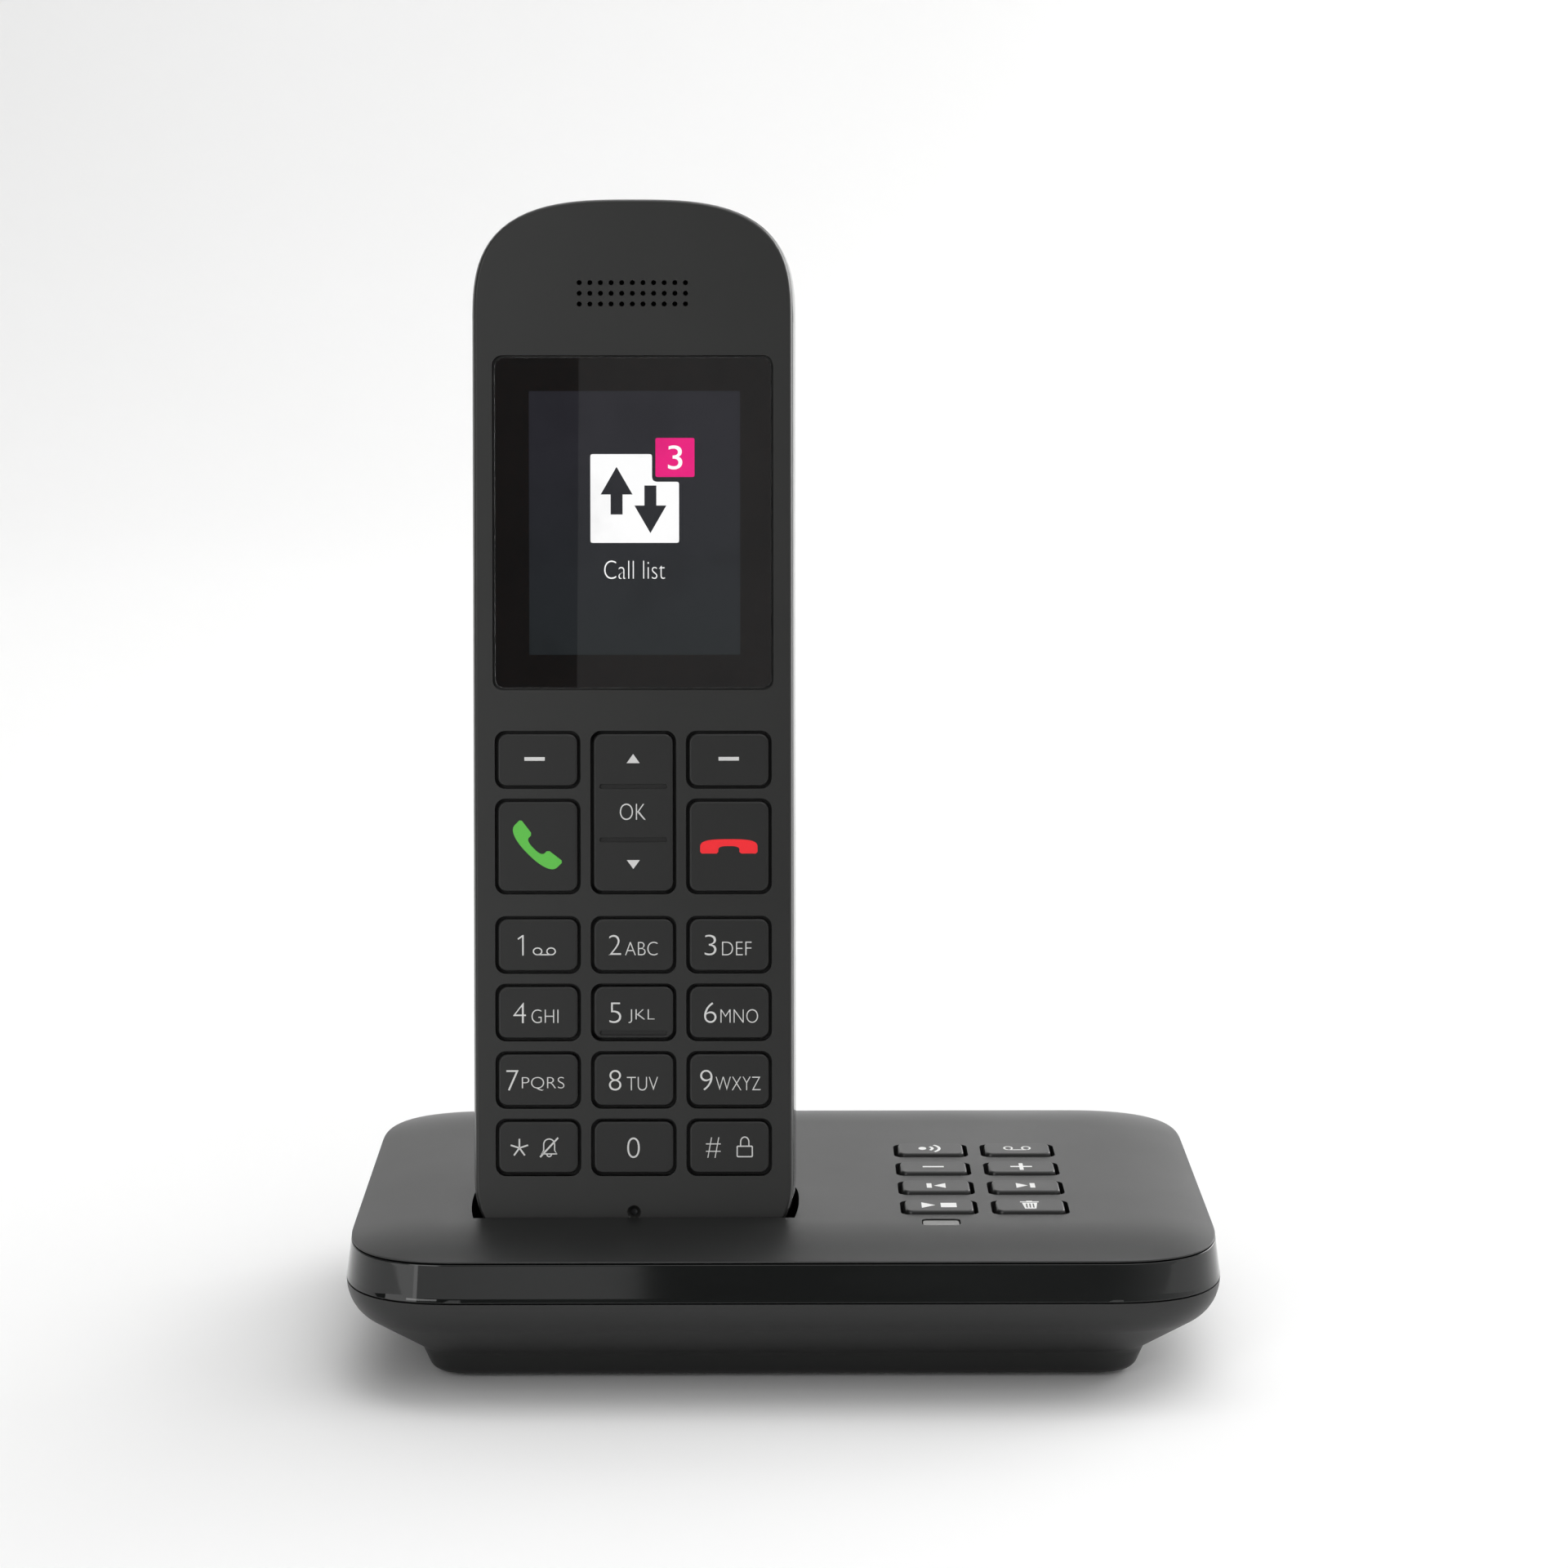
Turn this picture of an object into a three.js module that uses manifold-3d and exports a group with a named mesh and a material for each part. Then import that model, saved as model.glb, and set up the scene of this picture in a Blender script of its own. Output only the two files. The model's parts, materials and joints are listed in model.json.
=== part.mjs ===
// A cordless phone standing in its charging base, which is also an answering machine.
// Millimetres, +Z up. Someone facing the keypad looks along +Y and has +X on their right.
// The base is centred on the origin and stands on rubber feet whose soles lie at Z = 0.
import * as THREE from 'three';
import * as BufferGeometryUtils from 'three/addons/utils/BufferGeometryUtils.js';
import Module from 'manifold-3d';

const wasm = await Module();
wasm.setup();

// Fits shared by the whole phone.
const SEAM = 0.3; // gap between neighbouring pieces of the handset
const BASE_SEAM = 0.15; // gap between neighbouring pieces of the base
const KEY_SIDE_GAP = 0.45; // free space round a handset key
const SLIDE_CLEARANCE = 0.4; // free space round the handset in its pocket
const CUT_PAST = 1; // how far a cut runs beyond the surface it opens

// Base housing, in plan.
const BASE_WIDTH = 131.6;
const BASE_DEPTH = 85.8;
const BASE_CORNER = 19.5;
const BASE_CORNER_POWER = 2.75; // 2 would be a circular corner, more is squarer
const BASE_CORNER_STEPS = 10;

// Base housing, in height. Heights start at the underside of the bottom shell.
const FOOT_STANDOFF = 0.6; // rubber below the bottom shell
const SEAM_HEIGHT = 15.1;
const BAND_HEIGHT = 6.3;
const BAND_LEAN_IN = 0.86;
const BAND_THICKNESS = 2.3;
const CROWN_RISE = 2.0;
const CROWN_WIDTH = 14.5;
const CROWN_POWER = 2.24;
const COVER_WALL = 2.0;
const COVER_LIP = 0.3;
const COVER_SKIRT = 1.6;
const SHELL_WALL = 2.0;
const SHELL_SIDE_END = 11.7; // the upright side would reach down to here
const NECK_INSET = 10.95;
const NECK_HEIGHT = 3.94;
const FOOT_INSET = 12.57;
const BELLY_RADIUS = 6.5;
const NECK_RADIUS = 2.5;
const HEEL_RADIUS = 1.9;

// Handset.
const HANDSET_LENGTH = 161.3;
const HANDSET_WIDTH = 49.0;
const HANDSET_THICKNESS = 23.5;
const HANDSET_TOP_ARC = 19;
const HANDSET_TOP_POWER = 3.0;
const HANDSET_BOTTOM_ARC = 15;
const HANDSET_BOTTOM_POWER = 2.9;
const HANDSET_CORNER_STEPS = 11;
const FACE_INSET = 0.75; // the face is this much smaller all round than the widest outline
const FACE_EDGE = 0.4;
const FACE_THICKNESS = 1.6;
const FRAME_DEPTH = 7.7; // the glossy side frame, front to back
const FRAME_THICKNESS = 2.3;
const REAR_ROLL = 9.0;
const REAR_ROLL_POWER = 2.4;
const REAR_WALL = 1.5;

// How the handset stands in the base.
const HANDSET_X = -22.5;
const HANDSET_FACE_Y = -25.96; // where the face meets the top of the base
const HANDSET_LEAN = THREE.MathUtils.degToRad(9.18);
const DOCKED_DEPTH = 8.0;
const POCKET_FLOOR_GAP = 0.9;
const POCKET_WALL = 1.5;
const POCKET_WELL_REACH = 18; // the well and its hollow are made this tall, then trimmed by the cover
const POCKET_HOLLOW_REACH = 28;

// Display.
const WINDOW_WIDTH = 41.5;
const WINDOW_HEIGHT = 49.5;
const WINDOW_CORNER = 1.5;
const WINDOW_FROM_TOP = 49.0; // top of the handset to the middle of the window
const WINDOW_THICKNESS = 0.8;
const WINDOW_LEDGE = 2.0;
const DISPLAY_WIDTH = 36.0;
const DISPLAY_HEIGHT = 44.5;
const DISPLAY_THICKNESS = 2.4;

// Earpiece and microphone.
const EAR_FROM_TOP = 14.7;
const EAR_COLUMNS = 11;
const EAR_ROWS = 3;
const EAR_PITCH = 1.59;
const EAR_HOLE = 0.78;
const EAR_HOLE_SIDES = 4; // there are many of them, so each is drawn square
const EARPIECE_WIDTH = 20;
const EARPIECE_HEIGHT = 8;
const EARPIECE_THICKNESS = 2.8;
const MICROPHONE_UP = 8.74;
const MICROPHONE_HOLE = 1.0;
const MICROPHONE_FUNNEL = 2.1;
const MICROPHONE_DIAMETER = 4;
const MICROPHONE_THICKNESS = 2;

// Handset keys. Heights are up the handset from its bottom end.
const KEY_WIDTH = 12.86; // of the opening
const KEY_WEB = 1.48; // of the face between two columns
const KEY_CORNER = 1.6;
const DIGIT_KEY_WEB = 1.46; // of the face between two rows of digits
const DIGIT_ROW_PITCH = 10.16;
const LAST_DIGIT_ROW_UP = 18.53;
const CALL_KEY_HEIGHT = 14.4;
const CALL_ROW_WEB = 3.24; // between the call keys and the digits
const SOFT_KEY_HEIGHT = 8.72;
const SOFT_ROW_WEB = 1.44; // between the soft keys and the call keys
const KEY_PROUD = 0.3;
const KEY_EDGE = 0.35;
const KEY_FLANGE = 0.5; // both how far it spreads under the face and how thick it is
const KEY_FLANGE_GAP = 0.45; // lets the navigation key rock
const KEY_TRAVEL_ROOM = 0.95;
const MAT_THICKNESS = 0.7;
const MAT_MARGIN = 0.8;
const CARRIER_WIDTH = 8;
const CARRIER_HEIGHT = 10;
const CARRIER_SINK = 0.4; // under the flange of the navigation key
const CARRIER_THICKNESS = 0.7;
const CARRIER_RIB = 0.35; // radius of the round rib that the navigation key rocks on

// Circuit board and ringer of the handset.
const BOARD_THICKNESS = 1.0;
const BOARD_DEPTH = 5.0; // its front, behind the face
const BOARD_WIDTH = 40;
const BOARD_END_MARGIN = 11;
const RINGER_FROM_TOP = 37;
const RINGER_DIAMETER = 20;
const RINGER_THICKNESS = 4.5;
const RINGER_SLOT_WIDTH = 10;
const RINGER_SLOT_HEIGHT = 1.2;
const RINGER_SLOT_PITCH = 3;

// Battery: two AAA cells side by side.
const CELL_DIAMETER = 10.5;
const CELL_LENGTH = 43.7;
const CELL_NUB = 0.8;
const CELL_NUB_DIAMETER = 3.6;
const CELL_ROOM = 0.4;
const BAY_WALL = 1.2;
const BAY_LEDGE = 3.0;
const BAY_UP = 28; // lower end of the cells
const BAY_SCREW_SPACE = 6.5;
const BRIDGE_THICKNESS = 0.6;
const DOOR_CORNER = 3;
const CHARGE_PAD_X = 7;
const CHARGE_PAD_WIDTH = 5;
const CHARGE_PAD_DEPTH = 3.5;
const CHARGE_PAD_FACE = 0.35; // up from the very bottom of the handset
const CHARGE_PAD_THICKNESS = 1.9;
const CHARGE_PAD_BEHIND = 13.05; // middle of the pad, behind the face
const CONTACT_WIDTH = 2.4;
const CONTACT_THICKNESS = 1.6;
const CONTACT_LENGTH = 6;

// Screws.
const SMALL_SCREW_DIAMETER = 2;
const SMALL_SCREW_HEAD = 4;
const SMALL_SCREW_HEAD_THICKNESS = 1.4;
const SMALL_SCREW_ROOM = 1.1; // from the tip of a bay screw to the board
const BASE_SCREW_DIAMETER = 2.6;
const BASE_SCREW_HEAD = 5;
const BASE_SCREW_HEAD_THICKNESS = 1.7;
const BASE_SCREW_LENGTH = 6;
const BASE_SCREW_FROM_SIDE = 18.3;
const BASE_SCREW_Y = 9;
const BASE_BOSS = 8;
const BASE_BOSS_HEIGHT = 5;
const COVER_BOSS = 6;

// Flat sides used to draw a round shape, by its size.
const FINE_SIDES = 16;
const PLAIN_SIDES = 12;
const SMALL_SIDES = 8;

// Keys and lamp of the base.
const BASE_KEY_WIDTH = 11.75; // of the opening
const BASE_KEY_DEPTH = 7.3;
const BASE_KEY_WEB = 2.05;
const BASE_KEY_PITCH = 10.5;
const BASE_KEY_CORNER = 1.3;
const BASE_KEY_GAP = 0.5;
const BASE_KEY_TAPER = 0.22;
const BASE_KEY_PROUD = 0.4;
const BASE_KEY_BOSS_GAP = 0.725; // from the flange of the right-hand keys to the boss beside them
const BASE_KEY_LAST_ROW_Y = -21.25;
const BASE_KEY_ROWS = 4;
const BASE_KEY_FLANGE = 0.6;
const BASE_KEY_FLANGE_DROP = 0.6;
const LAMP_WIDTH = 5.8;
const LAMP_DEPTH = 3.1;
const LAMP_CORNER = 0.8;
const LAMP_Y = -28.65;

// Circuit board, loudspeaker and sockets of the base.
const BASE_BOARD_THICKNESS = 1.6;
const BASE_BOARD_DROP = 4.8; // from the top of the base to the top of the board
const BASE_BOARD_BOSS_GAP = 0.5;
const BASE_BOARD_FRONT = -33;
const BASE_BOARD_STEP = 15;
const BASE_BOARD_POCKET_GAP = 4;
const SPEAKER_DIAMETER = 28;
const SPEAKER_THICKNESS = 6;
const SPEAKER_RIM_THICKNESS = 2;
const SPEAKER_BASKET_THICKNESS = 3.6;
const SPEAKER_MAGNET_DIAMETER = 14;
const SPEAKER_X = 32;
const SPEAKER_Y = -6;
const GRILLE_SLOTS = 5;
const GRILLE_SLOT_LENGTH = 16;
const GRILLE_SLOT_WIDTH = 1.6;
const GRILLE_PITCH = 3.6;
const SOCKET_LENGTH = 11.5;
const SOCKET_LIP = 1.6; // of the socket round its hole
const LINE_SOCKET_X = 12;
const LINE_HOLE_WIDTH = 9.8;
const LINE_HOLE_HEIGHT = 6.8;
const POWER_SOCKET_X = 29.5;
const POWER_HOLE_WIDTH = 6.6;
const POWER_HOLE_HEIGHT = 5.4;
const HOLE_DEPTH = 9.5;
const HOLE_UP = 8.3;
const ALCOVE_DEPTH = 11.5;
const ALCOVE_WALL = 2;
const ALCOVE_BOTTOM = 2.8;
const ALCOVE_TOP_RIM = 1.1;
const ALCOVE_MARGIN = 3;

// Rubber feet.
const FOOT_DIAMETER = 9;
const FOOT_RECESS = 0.9;
const FOOT_FROM_SIDE = 21.5;

// Heights and places worked out from the sizes above.
const BAND_TOP = SEAM_HEIGHT + BAND_HEIGHT;
const BASE_TOP = BAND_TOP + CROWN_RISE;
const COVER_CEILING = BASE_TOP - COVER_WALL;
const FRAME_FRONT = -FACE_THICKNESS - SEAM;
const FRAME_BACK = FRAME_FRONT - FRAME_DEPTH;
const REAR_FRONT = FRAME_BACK - SEAM;
const REAR_BACK = -HANDSET_THICKNESS;
const ALCOVE_FACE_Y = BASE_DEPTH / 2 - ALCOVE_DEPTH;
const BEHIND_FACE = -FACE_THICKNESS - SEAM;
const KEY_PITCH = KEY_WIDTH + KEY_WEB;
const DIGIT_KEY_HEIGHT = DIGIT_ROW_PITCH - DIGIT_KEY_WEB;
const DIGIT_ROWS = 4;
const DIGITS_TOP = LAST_DIGIT_ROW_UP + (DIGIT_ROWS - 1) * DIGIT_ROW_PITCH + DIGIT_KEY_HEIGHT / 2;
const CALL_ROW_UP = DIGITS_TOP + CALL_ROW_WEB + CALL_KEY_HEIGHT / 2;
const SOFT_ROW_UP = CALL_ROW_UP + CALL_KEY_HEIGHT / 2 + SOFT_ROW_WEB + SOFT_KEY_HEIGHT / 2;
const KEY_FLANGE_FRONT = -FACE_THICKNESS - KEY_FLANGE_GAP;
const KEY_FOOT = KEY_FLANGE_FRONT - KEY_FLANGE;
const MAT_FRONT = KEY_FOOT - KEY_TRAVEL_ROOM;
const WINDOW_UP = HANDSET_LENGTH - WINDOW_FROM_TOP;
const DOOR_FRONT = REAR_BACK + REAR_WALL;
const CELL_Z = DOOR_FRONT + SEAM + CELL_ROOM + CELL_DIAMETER / 2;
const BAY_FLOOR = CELL_Z + CELL_DIAMETER / 2 + CELL_ROOM;

const phone = new THREE.Group();
const base = new THREE.Group();
base.position.z = FOOT_STANDOFF;
phone.add(base);

// The handset is drawn lying on its back, X to the right, Y towards the earpiece, Z out of the face,
// with its bottom end at Y = 0 and its face at Z = 0. This frame then stands it in the base.
function dockedFrame() {
	const frame = new THREE.Group();
	const upY = Math.sin(HANDSET_LEAN) * DOCKED_DEPTH;
	const upZ = Math.cos(HANDSET_LEAN) * DOCKED_DEPTH;
	frame.position.set(HANDSET_X, HANDSET_FACE_Y - upY, BASE_TOP - upZ);
	frame.rotation.x = Math.PI / 2 - HANDSET_LEAN;
	frame.updateMatrix();
	base.add(frame);
	return frame;
}

const handset = dockedFrame();
const dock = dockedFrame();

// A closed geometry as a solid that can be cut and joined.
function solid(geometry) {
	const bare = new THREE.BufferGeometry();
	bare.setAttribute('position', geometry.getAttribute('position').clone());
	if (geometry.index) bare.setIndex(geometry.index.clone());
	const merged = BufferGeometryUtils.mergeVertices(bare, 1e-5);
	const vertProperties = new Float32Array(merged.getAttribute('position').array);
	const triVerts = new Uint32Array(merged.index.array);
	return new wasm.Manifold(new wasm.Mesh({ numProp: 3, vertProperties, triVerts }));
}

function geometryOf(shape) {
	const mesh = shape.getMesh();
	const geometry = new THREE.BufferGeometry();
	geometry.setAttribute('position', new THREE.BufferAttribute(mesh.vertProperties, 3));
	geometry.setIndex(new THREE.BufferAttribute(mesh.triVerts, 1));
	geometry.computeVertexNormals();
	return geometry;
}

function addPiece(group, name, geometry, color, roughness, metalness = 0) {
	const material = new THREE.MeshStandardMaterial({ color, roughness, metalness, flatShading: true });
	const mesh = new THREE.Mesh(geometry, material);
	mesh.name = name;
	group.add(mesh);
	return mesh;
}

// Outlines, as counter-clockwise points. Each corner is a quarter of a superellipse.
function cornerPoints(centreX, centreY, radiusX, radiusY, power, steps, signX, signY) {
	const points = [];
	for (let i = 0; i <= steps; i += 1) {
		const angle = (Math.PI / 2) * (i / steps);
		const x = centreX + signX * radiusX * Math.max(Math.cos(angle), 0) ** (2 / power);
		const y = centreY + signY * radiusY * Math.sin(angle) ** (2 / power);
		points.push(new THREE.Vector2(x, y));
	}
	return signX * signY > 0 ? points : points.reverse();
}

function roundedOutline(width, height, corner, steps, power = 2) {
	const x = width / 2 - corner;
	const y = height / 2 - corner;
	return [
		...cornerPoints(x, y, corner, corner, power, steps, 1, 1),
		...cornerPoints(-x, y, corner, corner, power, steps, -1, 1),
		...cornerPoints(-x, -y, corner, corner, power, steps, -1, -1),
		...cornerPoints(x, -y, corner, corner, power, steps, 1, -1),
	];
}

function baseOutline(inset) {
	const corner = Math.max(BASE_CORNER - inset, 2);
	const width = BASE_WIDTH - 2 * inset;
	const depth = BASE_DEPTH - 2 * inset;
	return roundedOutline(width, depth, corner, BASE_CORNER_STEPS, BASE_CORNER_POWER);
}

// The ends of the handset share their middle point, so that point is left out of the second half.
function handsetOutline(inset) {
	const half = HANDSET_WIDTH / 2 - inset;
	const top = HANDSET_LENGTH - HANDSET_TOP_ARC;
	const rise = HANDSET_TOP_ARC - inset;
	const drop = HANDSET_BOTTOM_ARC - inset;
	const steps = HANDSET_CORNER_STEPS;
	const above = [HANDSET_TOP_POWER, steps];
	const below = [HANDSET_BOTTOM_POWER, steps];
	return [
		...cornerPoints(0, top, half, rise, ...above, 1, 1),
		...cornerPoints(0, top, half, rise, ...above, -1, 1).slice(1),
		...cornerPoints(0, HANDSET_BOTTOM_ARC, half, drop, ...below, -1, -1),
		...cornerPoints(0, HANDSET_BOTTOM_ARC, half, drop, ...below, 1, -1).slice(1),
	];
}

// A closed skin over a run of outlines with equal numbers of points, each given as [outline, height].
// A solid run is closed by a fan at both ends, a ring joins its last outline to its first.
function loft(sections, isRing = false) {
	const count = sections[0][0].length;
	const positions = [];
	const index = [];
	for (const [outline, height] of sections) {
		for (const point of outline) positions.push(point.x, point.y, height);
	}
	const bands = isRing ? sections.length : sections.length - 1;
	for (let band = 0; band < bands; band += 1) {
		const low = band * count;
		const high = ((band + 1) % sections.length) * count;
		for (let i = 0; i < count; i += 1) {
			const next = (i + 1) % count;
			index.push(low + i, low + next, high + next);
			index.push(low + i, high + next, high + i);
		}
	}
	const closeEnd = (section, facesUp) => {
		const [outline, height] = sections[section];
		const middle = new THREE.Vector2();
		for (const point of outline) middle.addScaledVector(point, 1 / count);
		const hub = positions.length / 3;
		positions.push(middle.x, middle.y, height);
		for (let i = 0; i < count; i += 1) {
			const here = section * count + i;
			const next = section * count + ((i + 1) % count);
			if (facesUp) index.push(hub, here, next);
			else index.push(hub, next, here);
		}
	};
	if (!isRing) {
		closeEnd(0, false);
		closeEnd(sections.length - 1, true);
	}
	const geometry = new THREE.BufferGeometry();
	geometry.setAttribute('position', new THREE.Float32BufferAttribute(positions, 3));
	geometry.setIndex(index);
	geometry.computeVertexNormals();
	return geometry;
}

function prism(outline, bottom, top) {
	const shape = new THREE.Shape(outline);
	const geometry = new THREE.ExtrudeGeometry(shape, { depth: top - bottom, bevelEnabled: false });
	return geometry.translate(0, 0, bottom);
}

function roundedPrism(width, height, corner, bottom, top, x = 0, y = 0, steps = 2) {
	return prism(roundedOutline(width, height, corner, steps), bottom, top).translate(x, y, 0);
}

function box(fromX, toX, fromY, toY, fromZ, toZ) {
	const geometry = new THREE.BoxGeometry(toX - fromX, toY - fromY, toZ - fromZ);
	return geometry.translate((fromX + toX) / 2, (fromY + toY) / 2, (fromZ + toZ) / 2);
}

function centredBox(x, y, width, height, fromZ, toZ) {
	return box(x - width / 2, x + width / 2, y - height / 2, y + height / 2, fromZ, toZ);
}

function disc(diameter, bottom, top, x, y, sides) {
	const geometry = new THREE.CylinderGeometry(diameter / 2, diameter / 2, top - bottom, sides);
	return geometry.rotateX(Math.PI / 2).translate(x, y, (bottom + top) / 2);
}

function cut(shape, ...cutters) {
	return cutters.reduce((left, cutter) => left.subtract(solid(cutter)), shape);
}

function join(shape, ...others) {
	return others.reduce((left, other) => left.add(solid(other)), shape);
}

// A path of straight lines with each inner corner rounded to its own radius.
function filletedPath(points, radii, steps) {
	const path = [points[0]];
	for (let i = 1; i < points.length - 1; i += 1) {
		const back = points[i - 1].clone().sub(points[i]).normalize();
		const ahead = points[i + 1].clone().sub(points[i]).normalize();
		const halfAngle = Math.acos(back.dot(ahead)) / 2;
		const reach = radii[i - 1] / Math.tan(halfAngle);
		const middle = back.clone().add(ahead).normalize();
		const centre = points[i].clone().addScaledVector(middle, radii[i - 1] / Math.sin(halfAngle));
		const start = points[i].clone().addScaledVector(back, reach).sub(centre);
		const end = points[i].clone().addScaledVector(ahead, reach).sub(centre);
		const sweep = Math.atan2(start.cross(end), start.dot(end));
		for (let step = 0; step <= steps; step += 1) {
			const turned = start.clone().rotateAround(new THREE.Vector2(), (sweep * step) / steps);
			path.push(turned.add(centre));
		}
	}
	path.push(points.at(-1));
	return path;
}

// The same run of lines, moved sideways by the wall.
function insidePath(points, wall) {
	const lines = [];
	for (let i = 0; i < points.length - 1; i += 1) {
		const along = points[i + 1].clone().sub(points[i]).normalize();
		const start = points[i].clone().add(new THREE.Vector2(-along.y, along.x).multiplyScalar(wall));
		lines.push({ start, along });
	}
	const inside = [lines[0].start];
	for (let i = 1; i < lines.length; i += 1) {
		const between = lines[i].start.clone().sub(lines[i - 1].start);
		const travel = between.cross(lines[i].along) / lines[i - 1].along.cross(lines[i].along);
		inside.push(lines[i - 1].start.clone().addScaledVector(lines[i - 1].along, travel));
	}
	inside.push(points.at(-1).clone().add(new THREE.Vector2(0, wall)));
	return inside;
}

// ---- Base ----

// Side profile of the bottom shell as (inset from the widest outline, height), from the seam down.
const shellProfile = [
	new THREE.Vector2(0, SEAM_HEIGHT),
	new THREE.Vector2(0, SHELL_SIDE_END),
	new THREE.Vector2(NECK_INSET, NECK_HEIGHT),
	new THREE.Vector2(FOOT_INSET, 0),
	new THREE.Vector2(FOOT_INSET + 2 * HEEL_RADIUS, 0),
];

function shellSections(path) {
	return path.map((point) => [baseOutline(point.x), point.y]);
}

const screwX = BASE_WIDTH / 2 - BASE_SCREW_FROM_SIDE;
const screwPlaces = [-screwX, screwX];
const footX = BASE_WIDTH / 2 - FOOT_FROM_SIDE;
const footY = BASE_DEPTH / 2 - FOOT_FROM_SIDE;
const footPlaces = [
	['front_left', -footX, -footY],
	['front_right', footX, -footY],
	['back_left', -footX, footY],
	['back_right', footX, footY],
];
const chargePlaces = [
	['left', -CHARGE_PAD_X],
	['right', CHARGE_PAD_X],
];
const sockets = [
	['line_socket', LINE_SOCKET_X, LINE_HOLE_WIDTH, LINE_HOLE_HEIGHT],
	['power_socket', POWER_SOCKET_X, POWER_HOLE_WIDTH, POWER_HOLE_HEIGHT],
];

// The bottom shell is a tub. An alcove in its back gives the two sockets a flat upright face.
function bottomShell() {
	const radii = [BELLY_RADIUS, NECK_RADIUS, HEEL_RADIUS];
	const outer = shellSections(filletedPath(shellProfile, radii, 3).reverse());
	const inner = shellSections(insidePath(shellProfile, SHELL_WALL));
	const alcoveLeft = LINE_SOCKET_X - LINE_HOLE_WIDTH / 2 - ALCOVE_MARGIN;
	const alcoveRight = POWER_SOCKET_X + POWER_HOLE_WIDTH / 2 + ALCOVE_MARGIN;
	const alcoveTop = SEAM_HEIGHT - ALCOVE_TOP_RIM;
	const beyond = BASE_DEPTH / 2 + CUT_PAST;
	const alcoveBlock = solid(
		box(
			alcoveLeft - ALCOVE_WALL,
			alcoveRight + ALCOVE_WALL,
			ALCOVE_FACE_Y - ALCOVE_WALL,
			beyond,
			SHELL_WALL / 2,
			SEAM_HEIGHT,
		),
	).intersect(solid(loft(outer)));
	let shell = solid(loft([...outer, ...inner])).add(alcoveBlock);
	shell = cut(shell, box(alcoveLeft, alcoveRight, ALCOVE_FACE_Y, beyond, ALCOVE_BOTTOM, alcoveTop));
	for (const [, x, width, height] of sockets) {
		const halfWidth = width / 2 + SEAM;
		const halfHeight = height / 2 + SEAM;
		const fromTo = [x - halfWidth, x + halfWidth, ALCOVE_FACE_Y - 2 * ALCOVE_WALL, beyond];
		shell = cut(shell, box(...fromTo, HOLE_UP - halfHeight, HOLE_UP + halfHeight));
	}
	for (const x of screwPlaces) {
		const place = [x, BASE_SCREW_Y];
		const seat = BASE_BOSS_HEIGHT - SHELL_WALL;
		const through = [-CUT_PAST, BASE_BOSS_HEIGHT + CUT_PAST];
		shell = join(shell, disc(BASE_BOSS, SHELL_WALL / 2, BASE_BOSS_HEIGHT, ...place, PLAIN_SIDES));
		shell = cut(
			shell,
			disc(BASE_SCREW_HEAD + 2 * SEAM, -CUT_PAST, seat, ...place, PLAIN_SIDES),
			disc(BASE_SCREW_DIAMETER + 2 * SEAM, ...through, ...place, SMALL_SIDES),
		);
	}
	for (const [, x, y] of footPlaces) {
		shell = cut(shell, disc(FOOT_DIAMETER + 2 * BASE_SEAM, -CUT_PAST, FOOT_RECESS, x, y, FINE_SIDES));
	}
	for (let slot = 0; slot < GRILLE_SLOTS; slot += 1) {
		const y = SPEAKER_Y + (slot - (GRILLE_SLOTS - 1) / 2) * GRILLE_PITCH;
		const slotSize = [GRILLE_SLOT_LENGTH, GRILLE_SLOT_WIDTH];
		shell = cut(shell, centredBox(SPEAKER_X, y, ...slotSize, -CUT_PAST, SHELL_WALL + CUT_PAST));
	}
	return shell;
}

// The band leans straight in towards its top.
function trimBand() {
	const bottom = SEAM_HEIGHT + BASE_SEAM;
	const top = BAND_TOP - COVER_LIP - BASE_SEAM;
	const sections = [];
	for (const share of [0, 1]) {
		const height = bottom + (top - bottom) * share;
		const lean = BAND_LEAN_IN * ((height - SEAM_HEIGHT) / BAND_HEIGHT);
		sections.push([baseOutline(lean), height]);
	}
	sections.push([baseOutline(BAND_THICKNESS), top]);
	sections.push([baseOutline(BAND_THICKNESS), bottom]);
	return loft(sections, true);
}

// How far the side of the handset lies inside its widest outline, at a depth behind its face.
function frameInset(depth) {
	const share = Math.min(depth / (FACE_THICKNESS + FRAME_DEPTH), 1);
	return FACE_INSET * (1 - share) ** 2;
}

// Shares of the rear cover's depth at which its rolled side is drawn.
const ROLL_SHARES = [0, 0.3, 0.52, 0.72, 0.87, 0.96, 1];

function rearInset(depth) {
	const start = -REAR_FRONT;
	const share = Math.min(Math.max((depth - start) / (HANDSET_THICKNESS - start), 0), 1);
	return REAR_ROLL * (1 - (1 - share ** REAR_ROLL_POWER) ** (1 / REAR_ROLL_POWER));
}

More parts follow.
